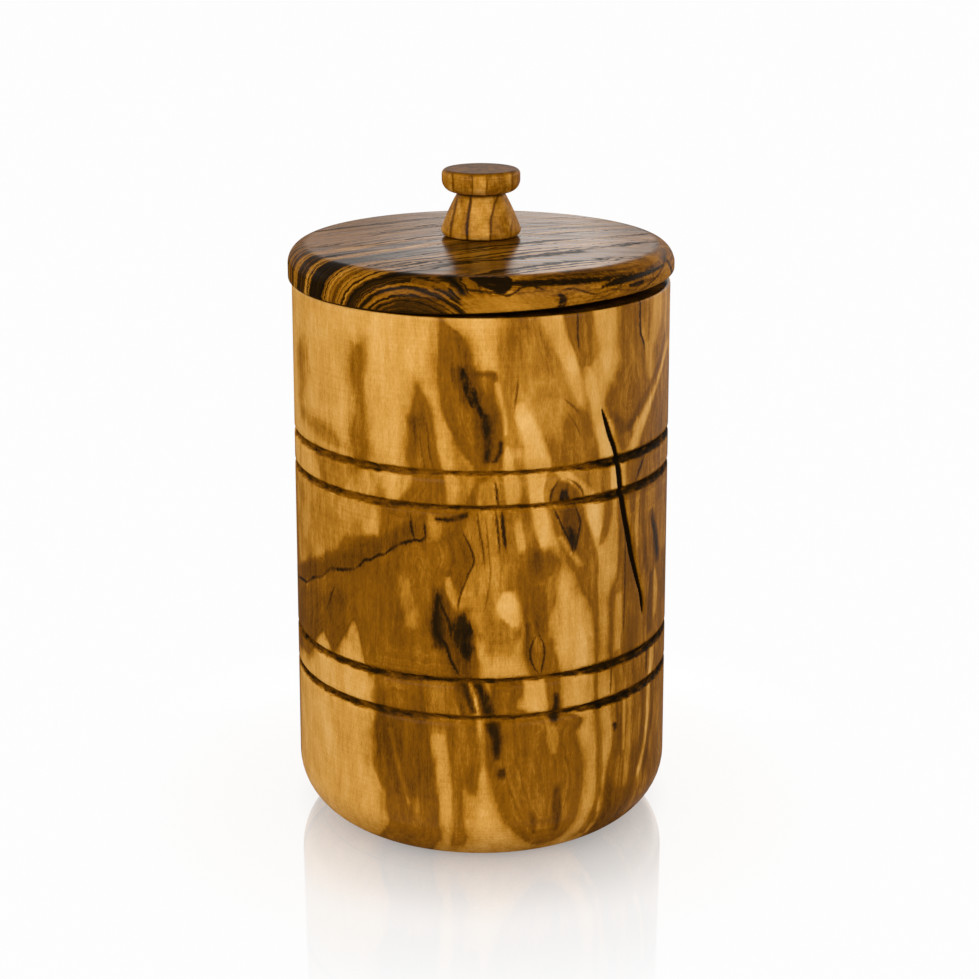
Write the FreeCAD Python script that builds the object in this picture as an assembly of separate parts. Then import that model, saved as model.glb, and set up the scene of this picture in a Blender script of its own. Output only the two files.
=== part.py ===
"""A turned wooden salt keeper: jar, lid with its plug, knob, and the dowel that joins knob and lid.

Millimetres, +Z up. The origin is the centre of the jar's foot, and the front faces -Y.
Every piece is turned about Z. Only the underside of the lid's edge leaves that round form:
the lid has dried a little out of flat, so on one side it stands off the jar's rim.
"""
import FreeCAD, Part
import math
import os

# Jar
JAR_HEIGHT = 139.8
JAR_DIAMETER = 96.2           # the tapered wall carried down to the foot, before the rounding
JAR_TAPER = 2.3               # how much less the rim measures across
WALL_THICKNESS = 8.0          # at the rim
FLOOR_THICKNESS = 12.0
FOOT_ROUND = 14.5
FLOOR_ROUND = 6.0
RIM_ROUND = 0.7
MOUTH_ROUND = 1.2

# Turned decoration: two pairs of grooves
UPPER_PAIR_BELOW_RIM = 41.6   # from the rim to the middle of the pair
UPPER_PAIR_SPACING = 8.4
LOWER_PAIR_ABOVE_FOOT = 45.8
LOWER_PAIR_SPACING = 9.6
GROOVE_WIDTH = 2.2
GROOVE_DEPTH = 0.7

# Lid
LID_OVERHANG = 0.9            # past the jar's rim
LID_THICKNESS = 10.4          # from the seat to the knob's landing
LID_CROWN = 1.4               # fall of the top from the landing to the edge
LID_TOP_ROUND = 5.0
LID_LOWER_ROUND = 1.2
LANDING_MARGIN = 1.0          # flat ring of the landing outside the knob
LID_LIFT = 2.3                # how far the edge's underside stands off the rim at its highest
LID_LIFT_AZIMUTH = 67.0       # degrees from the front towards +X
LID_LIFT_START = 30.0         # the rise starts this far from the axis, on the other side of it
PLUG_DEPTH = 7.0
PLUG_CLEARANCE = 0.6          # radial, so that the lid drops in and turns freely
PLUG_ROUND = 1.0

# Knob
KNOB_HEIGHT = 16.6
KNOB_BASE_DIAMETER = 19.7
KNOB_BASE_ROUND = 1.8
KNOB_WAIST_DIAMETER = 11.3
KNOB_FLARE_BULGE = 0.25       # how far the flare swells past a straight cone at its middle
KNOB_CAP_DIAMETER = 19.3
KNOB_CAP_THICKNESS = 5.6
KNOB_CAP_TOP_ROUND = 1.3
KNOB_CAP_LOWER_ROUND = 3.0

# Dowel, glued into blind holes in the lid and the knob
DOWEL_DIAMETER = 6.0
DOWEL_IN_LID = 10.0
DOWEL_IN_KNOB = 9.0
DOWEL_CHAMFER = 0.6
GLUE_FILM = 0.1               # radial, round the dowel
GLUE_ROOM = 0.5               # over the dowel's upper end

# Worked out from the sizes above
FOOT_RADIUS = JAR_DIAMETER / 2
RIM_RADIUS = (JAR_DIAMETER - JAR_TAPER) / 2
BORE_RADIUS = RIM_RADIUS - WALL_THICKNESS
LID_RADIUS = RIM_RADIUS + LID_OVERHANG
PLUG_RADIUS = BORE_RADIUS - PLUG_CLEARANCE
LID_TOP = JAR_HEIGHT + LID_THICKNESS
LANDING_RADIUS = KNOB_BASE_DIAMETER / 2 + LANDING_MARGIN
DOWEL_HOLE_RADIUS = DOWEL_DIAMETER / 2 + GLUE_FILM

UP = FreeCAD.Vector(0, 0, 1)
CENTRE = FreeCAD.Vector(0, 0, 0)
TOUCH = 1e-4                  # closer than this, two places are the same


def at(radius, height):
    """A point of a turned outline, which is drawn in the XZ plane."""
    return FreeCAD.Vector(radius, 0, height)


def polyline(*points):
    """The straight edges from each point to the next."""
    return [Part.LineSegment(a, b).toShape() for a, b in zip(points, points[1:])]


def turned(edges):
    """Revolves a closed outline about Z."""
    wire = Part.Wire(edges)
    return Part.Face(wire).revolve(CENTRE, UP, 360)


def quarter_round(centre, radius, start_degrees):
    """A quarter circle, counter-clockwise in the outline from the given direction."""
    def spoke(degrees):
        turn = math.radians(degrees)
        return centre + FreeCAD.Vector(radius * math.cos(turn), 0, radius * math.sin(turn))
    return Part.Arc(spoke(start_degrees), spoke(start_degrees + 45), spoke(start_degrees + 90)).toShape()


def rings_at(shape, radius, height):
    """The full circles of a turned shape that have this radius and height."""
    found = []
    for edge in shape.Edges:
        circle = edge.Curve
        if not isinstance(circle, Part.Circle):
            continue
        same_radius = math.isclose(circle.Radius, radius, abs_tol=TOUCH)
        if same_radius and math.isclose(circle.Center.z, height, abs_tol=TOUCH):
            found.append(edge)
    return found


def wall_radius(height):
    """The jar's tapered outside."""
    return FOOT_RADIUS + (RIM_RADIUS - FOOT_RADIUS) * height / JAR_HEIGHT


def groove_cutter(height):
    """The ring that cuts one round-bottomed groove of the set width and depth."""
    section = (GROOVE_WIDTH ** 2 / 4 + GROOVE_DEPTH ** 2) / (2 * GROOVE_DEPTH)
    ring = wall_radius(height) - GROOVE_DEPTH + section
    return Part.makeTorus(ring, section, at(0, height), UP)


def jar_body():
    """A tapered cup with a well rounded foot and two pairs of grooves."""
    cup = turned(polyline(
        at(0, 0),
        at(FOOT_RADIUS, 0),
        at(RIM_RADIUS, JAR_HEIGHT),
        at(BORE_RADIUS, JAR_HEIGHT),
        at(BORE_RADIUS, FLOOR_THICKNESS),
        at(0, FLOOR_THICKNESS),
        at(0, 0),
    ))
    rounds = (
        (FOOT_ROUND, FOOT_RADIUS, 0),
        (RIM_ROUND, RIM_RADIUS, JAR_HEIGHT),
        (MOUTH_ROUND, BORE_RADIUS, JAR_HEIGHT),
        (FLOOR_ROUND, BORE_RADIUS, FLOOR_THICKNESS),
    )
    for size, radius, height in rounds:
        cup = cup.makeFillet(size, rings_at(cup, radius, height))
    pairs = (
        (JAR_HEIGHT - UPPER_PAIR_BELOW_RIM, UPPER_PAIR_SPACING),
        (LOWER_PAIR_ABOVE_FOOT, LOWER_PAIR_SPACING),
    )
    for middle, spacing in pairs:
        for side in (-1, 1):
            cup = cup.cut(groove_cutter(middle + side * spacing / 2))
    return cup


def lift_cutter():
    """The space under the lifted side of the lid: a block whose top is a wide, shallow cylinder.

    The cylinder is tangent to the seat along a chord on the far side of the axis,
    and has risen by the lift where it leaves the lid at the lift's azimuth.
    """
    run = LID_RADIUS + LID_LIFT_START
    bend = (run ** 2 + LID_LIFT ** 2) / (2 * LID_LIFT)
    half_span = 2 * LID_RADIUS
    depth = LID_LIFT
    seat = at(0, JAR_HEIGHT)
    sweep = math.asin(2 * run / bend)
    foot_of_bend = FreeCAD.Vector(-LID_LIFT_START, -half_span, 0)

    def on_bend(turn):
        return foot_of_bend + FreeCAD.Vector(bend * math.sin(turn), 0, bend * (1 - math.cos(turn)))

    rise = Part.Arc(on_bend(0), on_bend(sweep / 2), on_bend(sweep)).toShape()
    under = on_bend(sweep)
    below_end = FreeCAD.Vector(under.x, under.y, -depth)
    below_start = FreeCAD.Vector(foot_of_bend.x, foot_of_bend.y, -depth)
    face = Part.Face(Part.Wire([rise] + polyline(under, below_end, below_start, foot_of_bend)))
    block = face.extrude(FreeCAD.Vector(0, 2 * half_span, 0))
    block.rotate(CENTRE, UP, LID_LIFT_AZIMUTH - 90)
    block.translate(seat)
    return block


def disc_outline():
    """The lid's disc: flat underside, upright edge, a round tangent to edge and crown, the landing."""
    slope = math.atan2(LID_CROWN, LID_RADIUS - LANDING_RADIUS)
    crown_normal = at(math.sin(slope), math.cos(slope))
    landing_edge = at(LANDING_RADIUS, LID_TOP)
    centre_radius = LID_RADIUS - LID_TOP_ROUND
    centre_reach = landing_edge.dot(crown_normal) - LID_TOP_ROUND
    centre = at(centre_radius, (centre_reach - centre_radius * crown_normal.x) / crown_normal.z)
    half_way = (math.pi / 2 - slope) / 2
    round_start = at(LID_RADIUS, centre.z)
    round_middle = centre + at(math.cos(half_way), math.sin(half_way)) * LID_TOP_ROUND
    round_end = centre + crown_normal * LID_TOP_ROUND
    outline = polyline(at(0, LID_TOP), at(0, JAR_HEIGHT), at(LID_RADIUS, JAR_HEIGHT), round_start)
    outline.append(Part.Arc(round_start, round_middle, round_end).toShape())
    outline += polyline(round_end, landing_edge, at(0, LID_TOP))
    return outline


def is_lower_edge(edge):
    """Whether an edge of the unrounded disc runs round its underside, lifted or not."""
    points = [vertex.Point for vertex in edge.Vertexes]
    points.append(edge.valueAt((edge.FirstParameter + edge.LastParameter) / 2))
    at_rim = all(math.isclose(math.hypot(p.x, p.y), LID_RADIUS, abs_tol=TOUCH) for p in points)
    return at_rim and all(p.z < JAR_HEIGHT + LID_LIFT + TOUCH for p in points)


def lid():
    """A crowned disc with a flat landing for the knob, and the plug that centres it in the jar."""
    disc = turned(disc_outline()).cut(lift_cutter())
    disc = disc.makeFillet(LID_LOWER_ROUND, [edge for edge in disc.Edges if is_lower_edge(edge)])
    plug_floor = JAR_HEIGHT - PLUG_DEPTH
    plug = Part.makeCylinder(PLUG_RADIUS, PLUG_DEPTH + LID_THICKNESS / 2, at(0, plug_floor), UP)
    plug = plug.makeFillet(PLUG_ROUND, rings_at(plug, PLUG_RADIUS, plug_floor))
    hole = Part.makeCylinder(DOWEL_HOLE_RADIUS, DOWEL_IN_LID, at(0, LID_TOP - DOWEL_IN_LID), UP)
    return disc.fuse(plug).cut(hole).removeSplitter()


def knob():
    """A mushroom cap over a bell that flares to the lid, with a blind hole for the dowel."""
    base = KNOB_BASE_DIAMETER / 2
    waist = KNOB_WAIST_DIAMETER / 2
    cap = KNOB_CAP_DIAMETER / 2
    top = LID_TOP + KNOB_HEIGHT
    under_cap = top - KNOB_CAP_THICKNESS
    flare_foot = at(base, LID_TOP + KNOB_BASE_ROUND)
    flare_top = at(waist, under_cap)
    swell = at((base + waist) / 2 + KNOB_FLARE_BULGE, (flare_foot.z + flare_top.z) / 2)
    lower_centre = at(cap - KNOB_CAP_LOWER_ROUND, under_cap + KNOB_CAP_LOWER_ROUND)
    upper_centre = at(cap - KNOB_CAP_TOP_ROUND, top - KNOB_CAP_TOP_ROUND)
    outline = polyline(at(0, top), at(0, LID_TOP), at(base - KNOB_BASE_ROUND, LID_TOP))
    outline.append(quarter_round(at(base - KNOB_BASE_ROUND, flare_foot.z), KNOB_BASE_ROUND, -90))
    outline.append(Part.Arc(flare_foot, swell, flare_top).toShape())
    outline += polyline(flare_top, at(lower_centre.x, under_cap))
    outline.append(quarter_round(lower_centre, KNOB_CAP_LOWER_ROUND, -90))
    outline += polyline(at(cap, lower_centre.z), at(cap, upper_centre.z))
    outline.append(quarter_round(upper_centre, KNOB_CAP_TOP_ROUND, 0))
    outline += polyline(at(upper_centre.x, top), at(0, top))
    hole = Part.makeCylinder(DOWEL_HOLE_RADIUS, DOWEL_IN_KNOB + GLUE_ROOM, at(0, LID_TOP), UP)
    return turned(outline).cut(hole)


def knob_dowel():
    """A plain round peg with chamfered ends, standing on the floor of the lid's hole."""
    radius = DOWEL_DIAMETER / 2
    low = LID_TOP - DOWEL_IN_LID
    high = LID_TOP + DOWEL_IN_KNOB
    return turned(polyline(
        at(0, low),
        at(radius - DOWEL_CHAMFER, low),
        at(radius, low + DOWEL_CHAMFER),
        at(radius, high - DOWEL_CHAMFER),
        at(radius - DOWEL_CHAMFER, high),
        at(0, high),
        at(0, low),
    ))


PIECES = {
    "jar_body": jar_body,
    "lid": lid,
    "knob": knob,
    "knob_dowel": knob_dowel,
}

os.makedirs("parts", exist_ok=True)
for name, make in PIECES.items():
    piece = make().Solids[0]
    piece.exportStep(f"parts/{name}.step")
    print(f"{name}: valid {piece.isValid()}, {piece.Volume / 1000:.2f} cm3")
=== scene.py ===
"""The turned olive-wood salt keeper, dressed: figured jar, dark-figured lid, straight-grained knob.

Shapes are worked out in millimetres and put into the meshes in metres. The figure of the wood is drawn
in flat measures: how far round from the front (to the right) and how high. The shaders turn
those drawn fields into feathered, streaked tones.
"""
import math
import bpy
import numpy as np
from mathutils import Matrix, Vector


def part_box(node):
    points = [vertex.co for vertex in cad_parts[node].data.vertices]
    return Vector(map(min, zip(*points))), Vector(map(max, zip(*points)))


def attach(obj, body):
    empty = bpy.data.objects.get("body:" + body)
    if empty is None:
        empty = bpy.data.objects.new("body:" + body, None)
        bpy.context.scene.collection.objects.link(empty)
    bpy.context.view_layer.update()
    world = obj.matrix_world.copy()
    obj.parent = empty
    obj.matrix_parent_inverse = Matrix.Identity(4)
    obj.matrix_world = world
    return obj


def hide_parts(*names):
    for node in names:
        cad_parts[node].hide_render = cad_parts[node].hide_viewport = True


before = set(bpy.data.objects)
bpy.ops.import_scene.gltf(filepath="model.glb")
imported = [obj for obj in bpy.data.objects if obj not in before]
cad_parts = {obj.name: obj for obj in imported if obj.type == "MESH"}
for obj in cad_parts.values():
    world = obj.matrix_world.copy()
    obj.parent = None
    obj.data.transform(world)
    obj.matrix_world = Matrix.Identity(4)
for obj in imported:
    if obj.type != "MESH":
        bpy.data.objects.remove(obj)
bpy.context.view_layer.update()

MM = 1e-3                      # one millimetre in metres


def corner(node, which):
    """A CAD node's lowest (0) or highest (1) corner, in millimetres."""
    return np.array(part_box(node)[which]) / MM


# Jar, in millimetres
JAR_HEIGHT = corner("jar_body", 1)[2]
LID_RADIUS = corner("lid", 1)[0]
LID_OVERHANG = 0.9
RIM_RADIUS = LID_RADIUS - LID_OVERHANG
JAR_TAPER = 1.15               # how much the wall draws in from foot to rim
FOOT_RADIUS = RIM_RADIUS + JAR_TAPER
WALL = 8.0
BORE_RADIUS = RIM_RADIUS - WALL
FLOOR = 12.0
FOOT_ROUND = 14.5
FLOOR_ROUND = 6.0
RIM_ROUND = 0.7
MOUTH_ROUND = 1.2
GROOVES = (102.4, 94.0, 50.6, 41.0)
GROOVE_WIDTH = 2.2
GROOVE_DEPTH = 0.7
CRACK_DEPTH = 0.9

# Lid and knob
LID_TOP = corner("lid", 1)[2]
PLUG_FLOOR = corner("lid", 0)[2]
LID_CROWN = 1.4
LID_TOP_ROUND = 5.0
LID_LOWER_ROUND = 1.2
LID_LIFT = 2.3
LID_LIFT_AZIMUTH = math.radians(67)
LID_LIFT_START = 30.0
PLUG_RADIUS = BORE_RADIUS - 0.6
PLUG_ROUND = 1.0
LANDING_RADIUS = 10.85
KNOB_LOW = corner("knob", 0)[2]
KNOB_TOP = corner("knob", 1)[2]
KNOB_BASE = corner("knob", 1)[0]
KNOB_BASE_ROUND = 1.8
KNOB_WAIST = 5.65
KNOB_FLARE_BULGE = 0.25
KNOB_CAP = 9.65
KNOB_CAP_THICKNESS = 5.6
KNOB_CAP_TOP_ROUND = 1.3
KNOB_CAP_LOWER_ROUND = 3.0

# Flat measures
FLAT_RADIUS = 47.5             # the radius at which distances round the jar are drawn
GIRTH = 2 * math.pi * FLAT_RADIUS
FRONT_REACH = math.radians(80) # the front is drawn finely this far to each side


# Outlines and turned surfaces

def arc(centre, radius, start, stop, count):
    """Points of a circular arc in the outline plane, by angle in degrees from the outward direction."""
    turn = np.radians(np.linspace(start, stop, count))
    return np.stack([centre[0] + radius * np.cos(turn), centre[1] + radius * np.sin(turn)], 1)


def run(start, stop, count):
    """Evenly spaced points of a straight stretch, without its two ends."""
    share = np.linspace(0, 1, count + 2)[1:-1, None]
    return np.array(start) * (1 - share) + np.array(stop) * share


def column_angles(fine, coarse):
    """Angles round Z from the front towards +X: closely spaced over the front, wider over the back."""
    front = np.linspace(-FRONT_REACH, FRONT_REACH, fine, endpoint=False)
    back = np.linspace(FRONT_REACH, 2 * math.pi - FRONT_REACH, coarse, endpoint=False)
    return np.concatenate([front, back])


class Turned:
    """A closed surface of revolution: each outline point (r, h) goes round Z as x = r sin a, y = -r cos a.

    The outline starts and ends on the axis. Those two ends are single points, the rest is a grid
    of rows (outline) by columns (angle).
    """

    def __init__(self, outline, angles):
        outline = np.asarray(outline, float)
        self.low, self.high = outline[0, 1], outline[-1, 1]
        self.radius, self.angle = np.meshgrid(outline[1:-1, 0], angles, indexing="ij")
        self.height = np.repeat(outline[1:-1, 1:2], len(angles), 1)
        self.side = (self.angle + math.pi) % (2 * math.pi) - math.pi

    def faces(self):
        """Quads between neighbouring rows and columns, and a fan of triangles round each end point."""
        rows, columns = self.radius.shape
        index = np.arange(rows * columns).reshape(rows, columns)
        beside = np.roll(index, -1, 1)
        quads = np.stack([index[:-1], beside[:-1], beside[1:], index[1:]], -1).reshape(-1, 4)
        bottom = np.full(columns, rows * columns)
        lower = np.stack([bottom, beside[0], index[0]], -1)
        upper = np.stack([index[-1], beside[-1], bottom + 1], -1)
        return quads.tolist() + lower.tolist() + upper.tolist()

    def build(self, name, fields):
        """Puts the surface, smooth, into a new object, with its drawn fields as point attributes."""
        x = self.radius * np.sin(self.angle)
        y = -self.radius * np.cos(self.angle)
        grid = np.stack([x, y, self.height], -1).reshape(-1, 3)
        ends = [[0, 0, self.low], [0, 0, self.high]]
        mesh = bpy.data.meshes.new(name)
        mesh.from_pydata((np.concatenate([grid, ends]) * MM).tolist(), [], self.faces())
        for title, values in fields.items():
            padded = np.concatenate([values.ravel(), values[0, :1], values[-1, :1]])
            attribute = mesh.attributes.new(title, "FLOAT", "POINT")
            attribute.data.foreach_set("value", padded.astype(np.float32))
        mesh.shade_smooth()
        piece = bpy.data.objects.new(name, mesh)
        bpy.context.collection.objects.link(piece)
        return piece


# Drawing the figure of the wood

def through(place, knots, values):
    """A smooth curve through given points: cubic pieces whose slopes follow the neighbours."""
    slopes = np.gradient(values, knots)
    spot = np.clip(np.searchsorted(knots, place) - 1, 0, len(knots) - 2)
    length = knots[spot + 1] - knots[spot]
    t = np.clip((place - knots[spot]) / length, 0, 1)
    start = (1 + 2 * t) * (1 - t) ** 2 * values[spot] + t * (1 - t) ** 2 * length * slopes[spot]
    stop = t ** 2 * (3 - 2 * t) * values[spot + 1] + t ** 2 * (t - 1) * length * slopes[spot + 1]
    return start + stop


def rise(value, start, reach):
    """0 up to a start, then a straight rise to 1 over a reach."""
    return np.clip((value - start) / reach, 0, 1)


def level(strength):
    """The field value at which a smooth step from -1 to 1 gives this strength."""
    return -2 * math.sin(math.asin(1 - 2 * strength) / 3)


def near(across, middle):
    """Distance round the jar, taken on the turn that is nearest to a mark's middle."""
    return (across - middle + GIRTH / 2) % GIRTH - GIRTH / 2 + middle


def up(soft, strength, *rows):
    """A mark that runs up the wood, drawn by rows (height, left, right): its depth inside, in millimetres.

    The softness is how far its edge fades to each side, and the strength how full its tone gets.
    """
    heights, left, right = np.array(sorted(rows), float).T

    def inside(across, height):
        place = near(across, (left.mean() + right.mean()) / 2)
        sides = np.minimum(place - through(height, heights, left), through(height, heights, right) - place)
        return np.minimum(sides, np.minimum(height - heights[0], heights[-1] - height))
    return inside, soft, level(strength)


def along(soft, strength, *columns):
    """A mark that runs round the wood, drawn by columns (across, bottom, top)."""
    places, bottom, top = np.array(sorted(columns), float).T

    def inside(across, height):
        place = near(across, places.mean())
        sides = np.minimum(height - through(place, places, bottom), through(place, places, top) - height)
        return np.minimum(sides, np.minimum(place - places[0], places[-1] - place))
    return inside, soft, level(strength)


FAINTEST = -4.0                # a field's value well outside every mark


def drawn(marks, across, height):
    """All marks of one tone together: the strongest depth inside over softness, each up to its strength."""
    fields = [np.minimum(inside(across, height) / soft, most) for inside, soft, most in marks]
    return np.maximum(np.maximum.reduce(fields), FAINTEST)


def deepest(marks, across, height):
    """How far inside the marks a place lies, in millimetres."""
    return np.maximum(np.maximum.reduce([inside(across, height) for inside, soft, most in marks]), FAINTEST)


def line(width, strength, *points):
    """A thin line that runs up the wood through points (across, height)."""
    places, heights = np.array(sorted(points, key=lambda p: p[1]), float).T
    return places, heights, width, strength


LINE_TAPER = 2.5               # length over which a thin line thins to its end
LINE_REACH = 1.5               # a line is felt this far to each side


def line_fields(name, lines, across, height):
    """For the nearest line: the signed distance across to it, its half width and its strength there."""
    offset = np.full_like(across, 2 * LINE_REACH)
    half = np.zeros_like(across)
    strong = np.zeros_like(across)
    for places, heights, width, strength in lines:
        course = through(height, heights, places)
        lean = np.clip(np.gradient(places, heights), -3, 3)
        away = (near(across, places.mean()) - course) / np.hypot(1, np.interp(height, heights, lean))
        ends = np.minimum(height - heights[0], heights[-1] - height) / LINE_TAPER
        here = (ends > -1) & (np.abs(away) < np.abs(offset))
        fade = np.clip(2 * ends + 0.2, 0, 1) * np.clip((LINE_REACH - np.abs(away)) * 2, 0, 1)
        offset = np.where(here, away, offset)
        half = np.where(here, width / 2 * np.clip(ends, 0, 1), half)
        strong = np.where(here, strength * fade, strong)
    return {name + "_offset": offset, name + "_half": half, name + "_strength": strong}


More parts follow.
